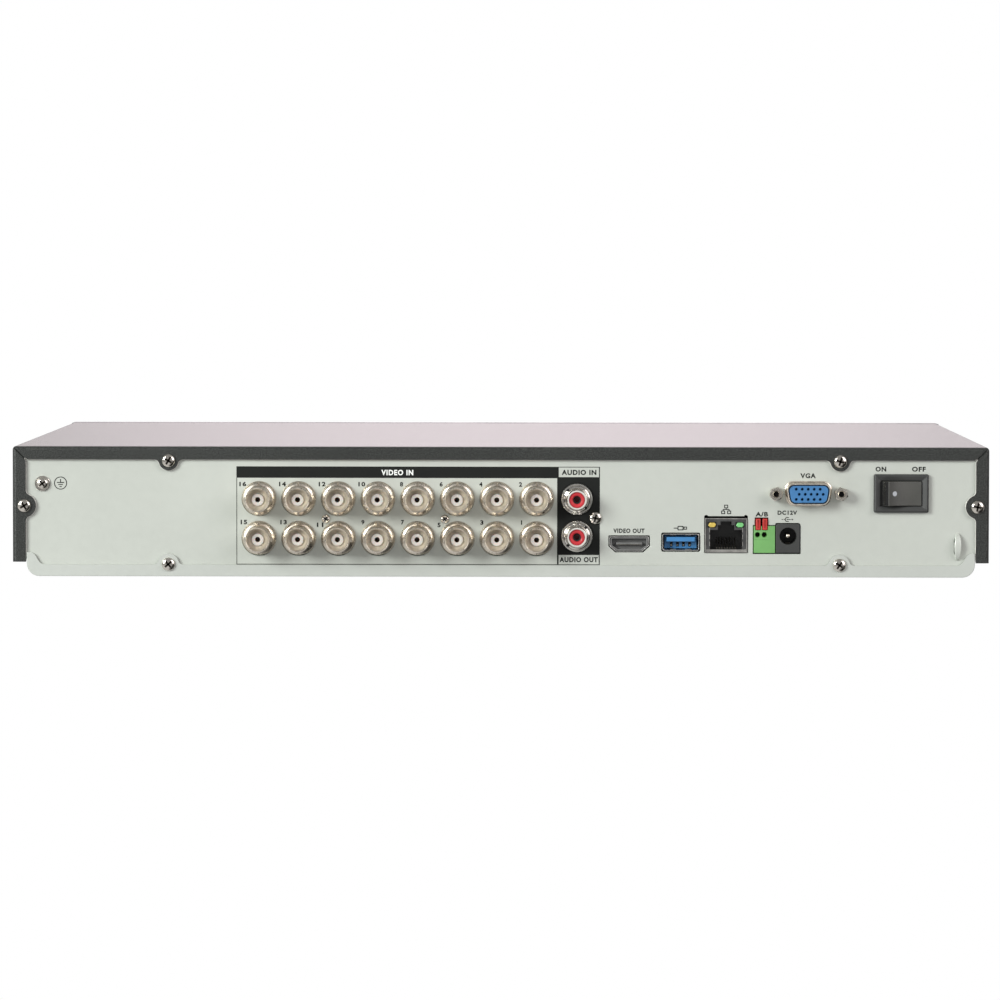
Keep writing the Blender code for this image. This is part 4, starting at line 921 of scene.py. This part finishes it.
def audio_jack(which, at, lean):
    """One audio jack, whose shell has two notches turned by lean."""
    front = box(f"audio_jack_shell_{which}")[0].y

    def around(low, high, edge=0.0):
        """Two blocks on opposite sides of the jack's axis."""
        pair = [turned(block(low, high, edge, at=(0, front, side * 4.85)), -lean) for side in (-1, 1)]
        return [moved(one, (at[0], 0, at[1])) for one in pair]

    mouth = [
        (3.0, 6.0), (3.0, 0.5), (3.05, 0.25), (3.2, 0.06),
        (3.4, 0), (3.65, 0.08), (3.85, 0.35), (3.95, 0.8),
    ]
    collar = [
        (4.0, 6.7), (4.08, 6.8), (4.2, 6.6), (4.4, 6.35),
        (4.65, 6.3), (4.9, 6.45), (5.05, 6.8), (5.1, 7.3),
    ]
    flange = [
        (5.15, 7.75), (5.25, 7.85), (5.35, 7.75), (5.5, 7.6), (5.7, 7.6), (5.9, 7.75), (6.05, 8.05),
        (6.1, 8.4), (6.1, 9.0), (6.0, 9.98), (3.0, 9.98),
    ]
    shell = lathe(mouth + collar + flange, at, 80, start=front)
    shell = cut(shell, *around((-0.55, 6.3, -0.6), (0.55, 7.8, 0.6)))
    finished(f"audio_shell_{which}", shell, CHROME, f"audio_jack_shell_{which}")
    # The notch floors are near black: painted shade.
    chips = around((-0.5, 7.2, -0.5), (0.5, 7.75, 0.5), 0.1)
    finished(f"audio_notches_{which}", joined(*chips), HOLE_SHADE)
    # A light matte ring over the chrome mouth: a painted highlight on the rim.
    lip = [(3.02, 0.5), (3.05, 0.2), (3.2, 0), (3.4, -0.05), (3.62, 0.02), (3.75, 0.25), (3.75, 0.5)]
    finished(f"audio_lip_{which}", lathe(lip, at, 64, start=front), EDGE_HIGHLIGHT)
    insert = [
        (0, 5.5), (1.5, 5.5), (1.52, 1.2), (1.62, 0.75), (1.85, 0.52), (2.1, 0.45),
        (2.8, 0.45), (2.93, 0.55), (2.97, 0.8), (2.97, 9.9), (0, 9.9),
    ]
    insert = lathe(insert, at, 64, start=front)
    finished(f"audio_insert_{which}", insert, RED_PLASTIC, f"audio_jack_insulator_{which}")
    # The hole's wall is near black: painted shade in the centre of the jack.
    sleeve = [(1.0, 5.4), (1.0, 1.6), (1.25, 1.35), (1.49, 1.25), (1.49, 5.4)]
    finished(f"audio_contact_{which}", lathe(sleeve, at, 32, start=front), HOLE_SHADE)


# ---- The ports ----


def hd_video_port():
    x, z = HD_VIDEO
    front, back = PANEL_FACE - 0.2, PANEL_FACE + 12
    shell = slab(front, back, hd_outline(x, z, 15.2, 5.9, 0.7), hd_outline(x, z, 14.5, 5.2, 0.5), edge=0.12)
    springs = [
        block((-0.75, 0.5, low), (0.75, 6, high), 0.12, at=(x + dx, front, z))
        for spread, low, high in ((2.6, -2.62, -2.15), (3.6, 2.2, 2.6))
        for dx in (-spread, spread)
    ]
    finished("hd_port_shell", joined(shell, *springs), STAINLESS, "hd_video_port_shell")
    lining = slab(
        front + 0.35, back - 3, hd_outline(x, z, 14.4, 5.1, 0.5), hd_outline(x, z, 13.2, 4.1), edge=0.15
    )
    base = slab(front + 3.2, back + 2, hd_outline(x, z, 13.6, 4.3))
    blade = block((x - 5, front + 1, z - 0.35), (x + 5, back - 3, z + 0.55), 0.15)
    tongue = joined(base, blade, lining)
    finished("hd_port_tongue", tongue, SOCKET_GREY, "hd_video_port_tongue")
    contacts = [
        block((-0.16, 0.93, -0.38), (0.16, 3.3, -0.05), at=(x + i * 0.5, front, z)) for i in range(-9, 10)
    ]
    finished("hd_port_contacts", joined(*contacts), CONTACT)


def usb_port():
    x, z = USB
    front, back = PANEL_FACE - 0.6, PANEL_FACE + 13.5
    shell = slab(
        front,
        back,
        rounded_rectangle(x, z, 14.2, 6.6, 0.9),
        rounded_rectangle(x, z, 13.5, 5.9, 0.6),
        edge=0.12,
    )
    springs = [
        solid(
            [
                (rectangle(x + dx, z + side * out, 2.2, 0.22), front + deep)
                for out, deep in ((2.85, 0.9), (2.45, 2.6), (2.9, 7))
            ]
        )
        for side in (1, -1)
        for dx in (-2.9, 2.9)
    ]
    finished("usb_port_can", joined(shell, *springs), STAINLESS, "usb_port_shell")

    def four(low, high, edge=0.0):
        """The same block at each of the four contacts."""
        return [block(low, high, edge, at=(x + dx, front, z)) for dx in (-3.5, -1.15, 1.15, 3.5)]

    base = block((x - 6.2, front + 4.6, z - 2.6), (x + 6.2, back - 0.5, z + 2.5), 0.2)
    blade = block((-5.45, 0.75, 0.2), (5.45, 6, 1.95), 0.25, 3, at=(x, front, z))
    tongue = joined(cut(base, *four((-0.55, 4, -1.9), (0.55, 6, -0.1))), blade)
    finished("usb_port_tongue_blue", tongue, USB_BLUE, "usb_port_tongue")
    contacts = four((-0.42, 1.2, 0.12), (0.42, 5.6, 0.24), 0.04)
    contacts += four((-0.3, 4.9, -1.7), (0.3, 5.8, -1.0), 0.1)
    finished("usb_port_contacts", joined(*contacts), CONTACT)
    # The slots are filled near black: painted shade.
    finished("usb_port_slots", joined(*four((-0.54, 5.5, -1.88), (0.54, 5.95, -0.12))), HOLE_SHADE)


def lan_port():
    x, z = LAN
    low, high = box("lan_port_shield")
    front, back = low.y, high.y
    width, height, wall = 16.2, 13.2, 0.4
    room = width - 2 * wall, height - 2 * wall
    z -= 0.15
    shield = slab(front, back, rectangle(x, z, width, height), rectangle(x, z, *room), edge=0.08)
    springs = [
        solid(
            [
                (rectangle(x + side * out, z + level, thick, 1.7), front + deep)
                for out, thick, deep in ((6.35, 0.3, 0.3), (5.95, 0.25, 2.2), (6.3, 0.25, 6.0))
            ]
        )
        for side in (-1, 1)
        for level in (-3.3, -0.6, 2.0)
    ]
    sill_plate = block((-7.7, 0.2, -6.3), (7.7, 1.4, -5.4), 0.15, at=(x, front, z))
    finished("lan_shield", joined(shield, sill_plate), SHIELD_STEEL, "lan_port_shield")
    finished("lan_springs", joined(*springs), CHROME)
    face = front + 0.35
    body = slab(face, back - 0.5, rectangle(x, z, room[0] - 0.1, room[1] - 0.1))
    step, shelf, top = 2.1, 3.95, 5.4
    wide, mid, narrow = 6.2, 3.2, 2.1
    right = [(wide, -5.45), (wide, step), (mid, step), (mid, shelf), (narrow, shelf), (narrow, top)]
    socket = slab(front - 1, back - 2.5, [(x + dx, z + dz) for dx, dz in (*right, *mirrored(right))])
    windows = [
        slab(face - 1, face + 0.8, rounded_rectangle(x + side * 5.35, z + 4.05, 3.7, 2.3, 0.5))
        for side in (-1, 1)
    ]
    body = softened(cut(body, socket, *windows), 0.12)
    finished("lan_body", body, PORT_GREY, "lan_port_housing")
    finished("lan_floor", slab(back - 2.7, back - 2.4, rectangle(x, z - 0.3, 12.6, 11.2)), PORT_GREY)
    lens = (
        (-1.6, -0.2, 0.3), (-0.7, -0.95, 0.3), (0.9, -0.95, 0.4),
        (1.6, 0.1, 0.4), (0.9, 0.9, 0.4), (-0.9, 0.9, 0.4),
    )
    for which, side, material in (("left", -1, LAMP_YELLOW), ("right", 1, LAMP_GREEN)):
        outline = rounded([(x + side * 5.35 + dx, z + 4 + dz, radius) for dx, dz, radius in lens], 5)
        lamp = slab(face + 0.1, face + 1.5, outline, edge=0.35, segments=4)
        finished(f"lan_lamp_{which}", lamp, material)
    route = ((1.6, -4.9), (2.2, -5.2), (3.5, -4.6), (9.5, -1.4))
    contacts = [
        wire([(x + (i - 3.5) * 1.02, front + deep, z + dz) for deep, dz in route], 0.2) for i in range(8)
    ]
    finished("lan_contacts", joined(*contacts), CONTACT)


def terminal():
    low, high = box("terminal_block")
    front = low.y
    slots, wires, clamps = [], [], []
    for which in "ab":
        lever_low, lever_high = box(f"terminal_lever_{which}")
        x, _ = middle(f"terminal_lever_{which}")
        slots.append(
            block((x - 1.075, front - 1, lever_low.z - 0.15), (x + 1.075, lever_high.y + 2, high.z + 1))
        )
        hole = [(0, -1), (1.15, -1), (1.15, 0), (0.9, 0.45), (0.9, 8), (0, 8)]
        wires.append(lathe(hole, (x - 0.2, 19.3), 32, start=front))
        clamps.append(block((0.35, 3.2, 18.4), (1.2, 7.5, 20.2), 0.1, at=(lever_low.x, front, 0)))
    groove = block((low.x - 1, front - 1, 17.45), (high.x - 2.6, front + 0.08, 17.55))
    body = softened(cut(block(low, high), *slots), 0.18)
    finished("terminal_body", cut(body, *wires, groove), GREEN_PLASTIC, "terminal_block")
    # The clamps are near black: painted shade inside the wire holes.
    finished("terminal_clamps", joined(*clamps), RECESS_SHADE)
    for which in "ab":
        lever(which)


def lever(which):
    """One lever of the terminal block, with a hollow in its end."""
    node = f"terminal_lever_{which}"
    low, high = box(node)
    x, z = middle(node)
    width, height = 0.341 * (high.x - low.x), 0.72 * (high.z - low.z)
    hollow = slab(low.y - 1, low.y + 0.35, rounded_rectangle(x + 0.1, z + 0.1, width, height, 0.2))
    bar = cut(block(low, high, 0.22, 3), hollow)
    finished(f"lever_{which}", bar, LEVER_RED, node, body=f"lever_{which}")


def power_jack():
    x, z = POWER
    low, high = box("power_jack")
    corners = [(low.x, low.z, 0.15), (high.x, low.z, 0.15), (high.x, high.z, 0.9), (low.x, high.z, 0.9)]
    body = slab(low.y, high.y, rounded(corners), edge=0.2, segments=3)
    bore = [(0, -1), (3.35, -1), (3.35, 0), (3.15, 0.35), (3.15, 9.5), (0, 9.5)]
    body = cut(body, lathe(bore, (x, z), 64, start=low.y))
    finished("power_jack_body", body, BLACK_PLASTIC, "power_jack")
    lining = [(3.14, 0.7), (3.0, 0.9), (3.0, 9.4), (3.14, 9.4)]
    finished("power_jack_lining", lathe(lining, (x, z), 64, start=low.y), GLOSS_BLACK)
    # The spring is near black: painted shade deep in the bore.
    spring = block((-0.9, 1.6, -3.02), (0.9, 8, -2.55), 0.2, at=(x, low.y, z))
    finished("power_jack_spring", spring, RECESS_SHADE)
    tip, end = (corner.y for corner in box("power_jack_pin"))
    pin = [(0, 0), (0.35, 0.02), (0.7, 0.18), (0.92, 0.55), (0.98, 1.0), (0.98, end - tip), (0, end - tip)]
    finished("power_jack_post", lathe(pin, (x, z), 32, start=tip), NICKEL, "power_jack_pin")


def vga_port():
    x, z = VGA
    front = box("vga_port_shell")[0].y
    steps = (
        (-0.62, 7.8), (-0.62, 0.35), (-0.45, 0.05), (-0.2, 0), (-0.03, 0.18), (0, 0.5),
        (0, 4.9), (0.12, 5.4), (0.4, 5.62), (0.62, 5.7), (0.72, 5.95), (0.72, 7.8),
    )
    rings = [
        (d_outline(x, z, 16.4 + 2 * grow, 8.3 + 2 * grow, 2.7 + grow), front + deep) for grow, deep in steps
    ]
    flange = slab(
        INSIDE,
        INSIDE + 0.6,
        rounded_rectangle(x, z, 30.8, 12.5, 1.5),
        d_outline(x, z, 15.2, 7.0, 2),
        *[circle(x + side * VGA_SCREW, z, 1.7) for side in (-1, 1)],
    )
    finished("vga_shell", joined(loft(rings), flange), NICKEL, "vga_port_shell")
    low, high = box("vga_port_insert")
    core = slab(front + 0.5, INSIDE + 2, d_outline(x, z, 14.5, 6.5, 1.9), edge=0.15)
    hole = [(0, -1), (0.62, -1), (0.62, 0.5), (0.46, 0.75), (0.46, 5), (0, 5)]
    holes = [
        lathe(hole, (x + (i - 2) * 2.29 + shift - 0.25, z + row * 1.96), 20, start=front)
        for row, shift in ((1, 0), (0, 1.15), (-1, 0))
        for i in range(5)
    ]
    back = block((x - 15.4, INSIDE + 0.9, z - 6.2), (x + 15.4, high.y, z + 6.2), 0.3)
    riser = block((x - 12, high.y - 4.5, low.z), (x + 12, high.y - 0.2, z), 0.2)
    bores = [rod(1.6, INSIDE, INSIDE + 6, (x + side * VGA_SCREW, z)) for side in (-1, 1)]
    insert = joined(cut(core, *holes), cut(back, *bores), riser)
    finished("vga_insert", insert, BLUE_PLASTIC, "vga_port_insert")
    for which, side in (("left", -1), ("right", 1)):
        vga_screw(which, side, x + side * VGA_SCREW, z)


def vga_screw(which, side, x, z):
    """A hexagonal screw with a chamfered head and a threaded hole."""
    hexagon = slab(SEAT - 5, SEAT, circle(0, 0, 2.7, 6))
    chamfer = [(0, -5.1), (2.25, -5.1), (2.25, -4.99), (2.75, -4.55), (2.75, 0.1), (0, 0.1)]
    head = cut(hexagon, lathe(chamfer, start=SEAT), operation="INTERSECT")
    bore = [(0, -5.2), (1.45, -5.2), (1.45, -5.0), (1.2, -4.75)]
    for i in range(6):
        bore += [(1.1, 0.5 * i - 4.6), (1.27, 0.5 * i - 4.35)]
    bore += [(1.1, -1.5), (0, -1.5)]
    head = cut(head, lathe(bore, sides=32, start=SEAT))
    mesh = turned(joined(head, rod(1.3, SEAT - 0.1, SEAT + 5)), 0.3 * side)
    finished(f"vga_screw_{which}", moved(mesh, (x, 0, z)), HEX_NICKEL, f"vga_jack_screw_{which}")
    # A near-black disc in the bore: painted shade in the threaded hole.
    finished(f"vga_screw_floor_{which}", rod(1.15, SEAT - 2.6, SEAT - 1.4, (x, z)), HOLE_SHADE)


# ---- The switch ----

ROCKER_RADIUS = 8.6
ROCKER_TIP, ROCKER_TILT = 48.3, 14.0
ROCKER_HALF = ROCKER_RADIUS * math.sin(math.radians(ROCKER_TIP))


def rocker_face(u):
    """How far the hollow face stands out of the pivot, at u from its middle."""
    return 1.1 * (1 - (u / ROCKER_HALF) ** 2) - ROCKER_RADIUS * math.cos(math.radians(ROCKER_TIP))


def power_switch():
    x, z = SWITCH
    low, high = box("switch_frame")
    front, back = low.y, high.y - 7
    wide, tall = 15.8, 9.8

    def outer(grow, radius):
        return rounded_rectangle(x, z, 21.1 + 2 * grow, 14.8 + 2 * grow, radius, 4)

    def inner(grow):
        return rounded_rectangle(x, z, wide + 2 * grow, tall + 2 * grow, 0.12, 4)

    bezel = loft(
        [
            (outer(0, 0.7), SEAT),
            (outer(0, 0.7), front + 0.75),
            (outer(-0.12, 0.6), front + 0.4),
            (outer(-0.45, 0.4), front + 0.12),
            (outer(-0.75, 0.3), front),
            (inner(0.12), front + 0.62),
            (inner(0), front + 0.78),
            (inner(0), front + 1.3),
            (inner(0), SEAT),
        ]
    )
    body = block((x - 9.5, SEAT + 0.01, z - 6.4), (x + 9.5, back, z + 6.4), 0.3)
    room = rod(8.85, z - tall / 2, z + tall / 2, PIVOT[:2], 64, "Z")
    end = high.y - back
    blades = [block((-0.4, -1, -2.4), (0.4, end, 2.4), 0.1, at=(x + dx, back, z)) for dx in (-5, 3)]
    finished("switch_body", joined(bezel, cut(body, room)), SWITCH_BLACK, "switch_frame")
    finished("switch_blades", joined(*blades), STAINLESS)
    rocker()


def rocker():
    """The rocker, its two ends darkened with painted shade and its white dot, tilted about the pivot."""
    radius, tip, thick = ROCKER_RADIUS, ROCKER_TIP, 9.3
    end = tip + 2 * ROCKER_TILT + 2
    place = Matrix.Translation(metres(PIVOT)) @ Matrix.Rotation(math.radians(ROCKER_TILT), 4, "Z")
    outline = [
        *arc(0, 0, radius, -90 - tip, -90 - end, 12),
        (-3, 2),
        (3, 2),
        *arc(0, 0, radius, -90 + end, -90 + tip, 12),
        *[(ROCKER_HALF * i / 10, rocker_face(ROCKER_HALF * i / 10)) for i in range(9, -10, -1)],
    ]
    cap = slab(-thick / 2, thick / 2, outline, plane="XY", edge=0.18, segments=3)
    cap = joined(cap, rod(1.2, -5.6, 5.6, axis="Z"))
    ends = []
    for sign in (-1, 1):
        first, last = -90 + sign * (tip + 2.5), -90 + sign * end
        skin = arc(0, 0, radius + 0.04, first, last, 12) + arc(0, 0, radius - 0.3, last, first, 12)
        ends.append(slab(0.1 - thick / 2, thick / 2 - 0.1, skin, plane="XY"))
    ends = joined(*ends)
    # The dot follows the hollow of the face.
    shape = bmesh.new()
    rim = circle(-0.62 * ROCKER_HALF, 0, 0.95, 24)
    shape.faces.new([shape.verts.new(metres((u, 0, v))) for u, v in rim])
    bmesh.ops.poke(shape, faces=shape.faces)
    made = bmesh.ops.extrude_face_region(shape, geom=shape.faces[:])
    fore = {item for item in made["geom"] if isinstance(item, bmesh.types.BMVert)}
    for vertex in shape.verts:
        vertex.co.y = (rocker_face(vertex.co.x / MM) + (-0.03 if vertex in fore else 0.2)) * MM
    dot = from_bmesh(shape)
    for mesh in (ends, cap, dot):
        mesh.transform(place)
    # The ends take a near-black gloss unlike the cap's plastic: painted shade where they sink into the
    # frame.
    finished("rocker_ends_painted_shade", ends, GLOSS_BLACK, body="rocker")
    finished("rocker_cap", cap, ROCKER_BLACK, "switch_rocker", body="rocker", sharp=25)
    finished("rocker_dot", dot, DOT_WHITE, body="rocker")


# ---- The front and the feet ----


def front():
    low, high = box("front_bezel")
    back, fore = low.y, high.y
    wall = 2
    profile = [
        (back, low.z, 0.3),
        (fore - 5, low.z, 1.5),
        (fore, low.z + 7, 3),
        (fore, low.z + 22.4, 0.3),
        (fore - 0.9, low.z + 23, 0.2),
        (fore - 0.9, low.z + 24, 0.2),
        (fore, low.z + 24.6, 0.3),
        (fore, high.z - 5, 3),
        (fore - 3, high.z, 1.5),
        (back, high.z, 0.3),
    ]
    shell = slab(low.x, high.x, rounded(profile, 8), plane="YZ", edge=0.9, segments=5)
    hollow = block(
        (low.x + wall, back - 1, low.z + wall + 3), (high.x - wall, fore - 3, high.z - wall - 2)
    )
    pane_low, pane_high = box("front_window")
    centre = middle("front_window")
    wide, tall = pane_high.x - pane_low.x, pane_high.z - pane_low.z
    window = slab(fore - 6, fore + 1, rounded_rectangle(*centre, wide + 2 * GAP, tall + 2 * GAP, 0.8))
    port = slab(fore - 6, fore + 1, rounded_rectangle(*FRONT_PORT, 15, 7.6, 0.9))
    shell = cut(shell, hollow, port, window)
    finished("front_moulding", shell, FRONT_BLACK, "front_bezel")
    outline = rounded_rectangle(*centre, wide, tall, 0.6)
    pane = slab(pane_low.y, pane_high.y, outline, edge=0.25, segments=3)
    finished("front_pane", pane, SMOKED, "front_window")
    low, high = box("front_board")
    face = SHEET_FRONT - SHEET - GAP
    board = block((low.x, face - 1.6, low.z), (high.x, face, high.z), 0.15)
    finished("front_board_sheet", board, BOARD_GREEN, "front_board")
    lamp = [(0, face - 0.5), (1.5, face - 0.5), (1.5, fore - 4.2), (1.2, fore - 3.4), (0, fore - 3.2)]
    finished("front_lamps", joined(*[lathe(lamp, (x, 37), 24) for x in (75, 90, 105)]), LAMP_GREEN)
    receiver = block((145, face - 0.5, 33.5), (151, fore - 3.2, 40.5), 0.8, 3)
    finished("remote_receiver", receiver, GLOSS_BLACK)
    x, z = FRONT_PORT
    can = slab(
        face - 0.4,
        high.y,
        rounded_rectangle(x, z, 13.6, 6.2, 0.8),
        rounded_rectangle(x, z, 12.9, 5.5, 0.6),
        edge=0.12,
    )
    finished("front_port_can", can, STAINLESS)
    inside = block((-6.4, 0, -2.7), (6.4, 4, 2.7), 0.2, at=(x, face, z))
    blade = block((x - 5.5, face + 3, z + 0.1), (x + 5.5, high.y - 1.7, z + 1.9), 0.25)
    finished("front_port_tongue", joined(inside, blade), BLACK_PLASTIC)


def feet():
    for where in ("rear_left", "rear_right", "front_left", "front_right"):
        low, high = box(f"foot_{where}")
        at, radius = ((low.x + high.x) / 2, (low.y + high.y) / 2), (high.x - low.x) / 2
        hollow = [(0, 0.9), (3.2, 0.9), (3.6, 0.3), (4.0, 0)]
        rim = [(1.5, 0), (1.0, 0.15), (0.55, 0.7), (0.1, 2.2), (0, high.z)]
        profile = [*hollow, *[(radius - inset, z) for inset, z in rim], (0, high.z)]
        foot = lathe(profile, at, 64, "Z")
        finished(f"rubber_foot_{where}", foot, RUBBER, f"foot_{where}")


# ---- Printing ----

INK_Y = PANEL_FACE - 0.005
INK_THICK = 0.025
WORDS = (
    # words, x, z, letter height, width
    ("AUDIO IN", 30.1, 43.15, 2.0, 13.3),
    ("AUDIO OUT", 30.0, 9.6, 2.0, 14.7),
    ("VIDEO OUT", 49.3, 20.75, 1.75, 12.0),
    ("A/B", 100.3, 27.2, 1.77, 4.8),
    ("DC12V", 110.1, 27.8, 1.65, 7.5),
    ("VGA", 118.0, 42.0, 1.9, 5.95),
    ("ON", 145.9, 44.6, 1.9, 4.1),
    ("OFF", 160.5, 44.6, 1.9, 5.3),
)


def ink(outline, *holes):
    return slab(INK_Y - INK_THICK, INK_Y, outline, *holes)


def printed(words, x, z, height, width):
    return lettering(words, x, z, height, width, INK_Y, INK_THICK)


def bars(x, z, *spans):
    """Filled bars, each from (x0, z0) to (x1, z1) counted from (x, z)."""
    return [ink(span(x + x0, z + z0, x + x1, z + z1)) for x0, z0, x1, z1 in spans]


def frames():
    """The frame round the video jacks, and the filled one round the audio jacks."""
    holes = [circle(x, z, 6.3) for x, z in AUDIO.values()]
    return [
        ink(span(-101.5, 7.55, 21.95, 45.3), span(-101.25, 7.8, 21.7, 40.9)),
        ink(
            span(21.9, 7.55, 38.1, 45.3),
            span(22.3, 41.35, 37.75, 45.05),
            span(22.3, 7.8, 37.75, 11.4),
            *holes,
        ),
    ]


def channel_numbers():
    lower, upper = JACK_ROWS
    for i, x in enumerate(JACK_COLUMNS):
        odd, even = 2 * i + 1, 2 * i + 2
        # The numbers 5 and 11 make room for the screws beside them.
        dx, dz = (-7.0, 5.2) if odd in (5, 11) else (-5.8, 6.2)
        yield printed(str(even), x - 6.2, upper + 5.6, 1.75, 2.65 if even > 9 else 1.2)
        yield printed(str(odd), x + dx, lower + dz, 1.75, 2.5 if odd > 9 else 1.2 if odd > 1 else 0.42)


def plug_mark(x, z):
    """A plug, for the data port."""
    return [
        ink(rounded_rectangle(x, z, 2.3, 1.7, 0.3), rounded_rectangle(x, z, 1.6, 1.0, 0.15)),
        ink(rectangle(x + 1.85, z, 1.3, 1.15), rectangle(x + 1.85, z, 0.65, 0.5)),
        *bars(x, z, (-2.6, -0.17, -1.1, 0.17)),
    ]


def network_mark(x, z):
    """Three linked boxes."""
    centres = [(x, z + 1.15), (x - 1.15, z - 1.1), (x + 1.15, z - 1.1)]
    boxes = [ink(rectangle(*centre, 1.5, 1.35), rectangle(*centre, 0.85, 0.7)) for centre in centres]
    links = (
        (-0.16, 0, 0.16, 0.5), (-1.31, -0.16, 1.31, 0.16),
        (-1.31, -0.5, -0.99, 0), (0.99, -0.5, 1.31, 0),
    )
    return boxes + bars(x, z, *links)


def polarity_mark(x, z):
    """A dot in an open ring, for the power jack, with its plus and minus."""
    half = 0.12
    return [
        ink(arc(x, z, 0.95, 50, 310, 20) + arc(x, z, 0.65, 310, 50, 20)),
        ink(circle(x, z, 0.22, 16)),
        *bars(
            x,
            z,
            (0, -half, 1.3, half),
            (-1.35, -half, -0.75, half),
            (1.55, -half, 2.2, half),
            (1.755, -0.33, 1.995, 0.33),
            (-2.2, -half, -1.6, half),
        ),
    ]


def ground_mark(x, z):
    return [
        ink(circle(x, z, 2.5), circle(x, z, 2.18)),
        *bars(
            x,
            z,
            (-0.17, 0.2, 0.17, 1.5),
            (-1.4, 0.05, 1.4, 0.38),
            (-0.87, -0.7, 0.87, -0.38),
            (-0.42, -1.5, 0.42, -1.18),
        ),
    ]


def printing():
    marks = [
        *frames(),
        *[printed(*row) for row in WORDS],
        *channel_numbers(),
        *plug_mark(69.1, 21.8),
        *network_mark(86.6, 29.0),
        *polarity_mark(110.1, 25.2),
        *ground_mark(-169.1, 38.75),
    ]
    finished("print_black", joined(*marks), INK)
    title = lettering("VIDEO IN", -39.7, 43, 2.15, 12.3, INK_Y - INK_THICK, 0.02)
    finished("print_white", title, WHITE_INK)


def inner_pieces():
    """Finishes for the CAD nodes that stay."""
    looks = {
        "main_board": BOARD_GREEN,
        "coin_cell": STAINLESS,
        "heat_sink": ALUMINIUM,
        "hard_disk": ALUMINIUM,
        "fan_frame": BLACK_PLASTIC,
        "fan_rotor": BLACK_PLASTIC,
        "audio_jack_housing": BLACK_PLASTIC,
        "drive_lead": LEAD_BLACK,
        "switch_lead": LEAD_BLACK,
        "front_lead": LEAD_BLACK,
    }
    for node, material in looks.items():
        obj = frame["nodes"][node]
        obj.data.materials.clear()
        obj.data.materials.append(material)


cover()
tray()
panel()
fasteners()
video_jacks()
audio_jack("in", AUDIO["in"], math.radians(45))
audio_jack("out", AUDIO["out"], math.radians(-45))
hd_video_port()
usb_port()
lan_port()
terminal()
power_jack()
vga_port()
power_switch()
front()
feet()
printing()
inner_pieces()


# ---- The studio, in metres ----


def camera():
    data = bpy.data.cameras.new("camera")
    data.sensor_width = 36
    data.lens = 192.7
    data.clip_start = 0.05
    data.clip_end = 50
    obj = placed(data)
    obj.name = "camera"
    obj.location = (0.0145, REAR * MM - 2.052, 0.133)
    obj.rotation_euler = [math.radians(angle) for angle in (90 - 2.802, -0.075, 0.415)]
    bpy.context.scene.camera = obj


def softbox(name, place, width, height, watts, colour):
    """An area light that faces the connector panel."""
    data = bpy.data.lights.new(name, "AREA")
    data.shape = "RECTANGLE"
    data.size, data.size_y = width, height
    data.energy = watts
    data.color = colour
    obj = placed(data)
    obj.name = name
    obj.location = place
    toward = Vector((0, REAR * MM, 0.03)) - Vector(place)
    obj.rotation_euler = toward.to_track_quat("-Z", "Y").to_euler()


def sky(tree):
    """The colour of the surroundings, which the object reflects."""
    around = add_node(tree, "TexCoord", {})["Generated"]
    split = add_node(tree, "SeparateXYZ", {"Vector": around})
    x, y, z = split["X"], split["Y"], split["Z"]
    # Bright behind the recorder and overhead, and dim behind the camera.
    depth = add_node(tree, "Math", {0: z, 1: 0.5, 2: y}, operation="MULTIPLY_ADD")["Value"]
    # The bright part is widest in the middle, which shades the lid towards its sides.
    square = add_node(tree, "Math", {0: x, 1: x}, operation="MULTIPLY")["Value"]
    sides = map_range(tree, square, 0.0, 0.045, -0.09, -0.55)
    level = add_node(tree, "Math", {0: depth, 1: sides}, operation="ADD")["Value"]
    ramp = tree.nodes.new("ShaderNodeValToRGB")
    tree.links.new(level, ramp.inputs["Fac"])
    stops = (
        (0.0, (0.34, 0.34, 0.34)),
        (0.5, (0.33, 0.33, 0.33)),
        (0.78, (0.80, 0.81, 0.79)),
        (1.0, (2.34, 2.08, 2.16)),
    )
    elements = ramp.color_ramp.elements
    elements.remove(elements[1])
    for i, (place, colour) in enumerate(stops):
        element = elements[0] if i == 0 else elements.new(place)
        element.position = place
        element.color = (*colour, 1)
    # Light comes back from the ground too.
    ground = map_range(tree, z, 0.0, -0.25, 0.0, 0.70)
    inputs = {0: 1.0, 6: ramp.outputs["Color"], 7: ground}
    lit = add_node(tree, "Mix", inputs, data_type="RGBA", blend_type="LIGHTEN")[2]
    # A dark card low on the right shows in the rims of the jacks.
    card = Vector((0.68, -0.42, -0.60)).normalized()
    toward = add_node(tree, "VectorMath", {0: around, 1: card}, operation="DOT_PRODUCT")["Value"]
    inputs = {0: lit, "Scale": map_range(tree, toward, 0.66, 0.86, 1.0, 0.03)}
    return add_node(tree, "VectorMath", inputs, operation="SCALE")["Vector"]


def studio():
    scene = bpy.context.scene
    scene.view_settings.view_transform = "Standard"
    scene.view_settings.look = "None"
    scene.world = bpy.data.worlds.new("studio")
    scene.world.use_nodes = True
    tree = scene.world.node_tree
    surroundings = tree.nodes["Background"]
    tree.links.new(sky(tree), surroundings.inputs["Color"])
    white = add_node(tree, "Background", {"Color": (1, 1, 1, 1)})["Background"]
    seen = add_node(tree, "LightPath", {})["Is Camera Ray"]
    either = add_node(tree, "MixShader", {0: seen, 1: surroundings.outputs["Background"], 2: white})
    tree.links.new(either["Shader"], tree.nodes["World Output"].inputs["Surface"])
    softbox("key", (-1.75, -1.85, 0.85), 1.2, 1.0, 68, (0.965, 1.0, 0.97))
    softbox("fill", (1.6, -1.6, 0.9), 1.4, 1.4, 23, (1.0, 0.95, 0.965))


camera()
studio()
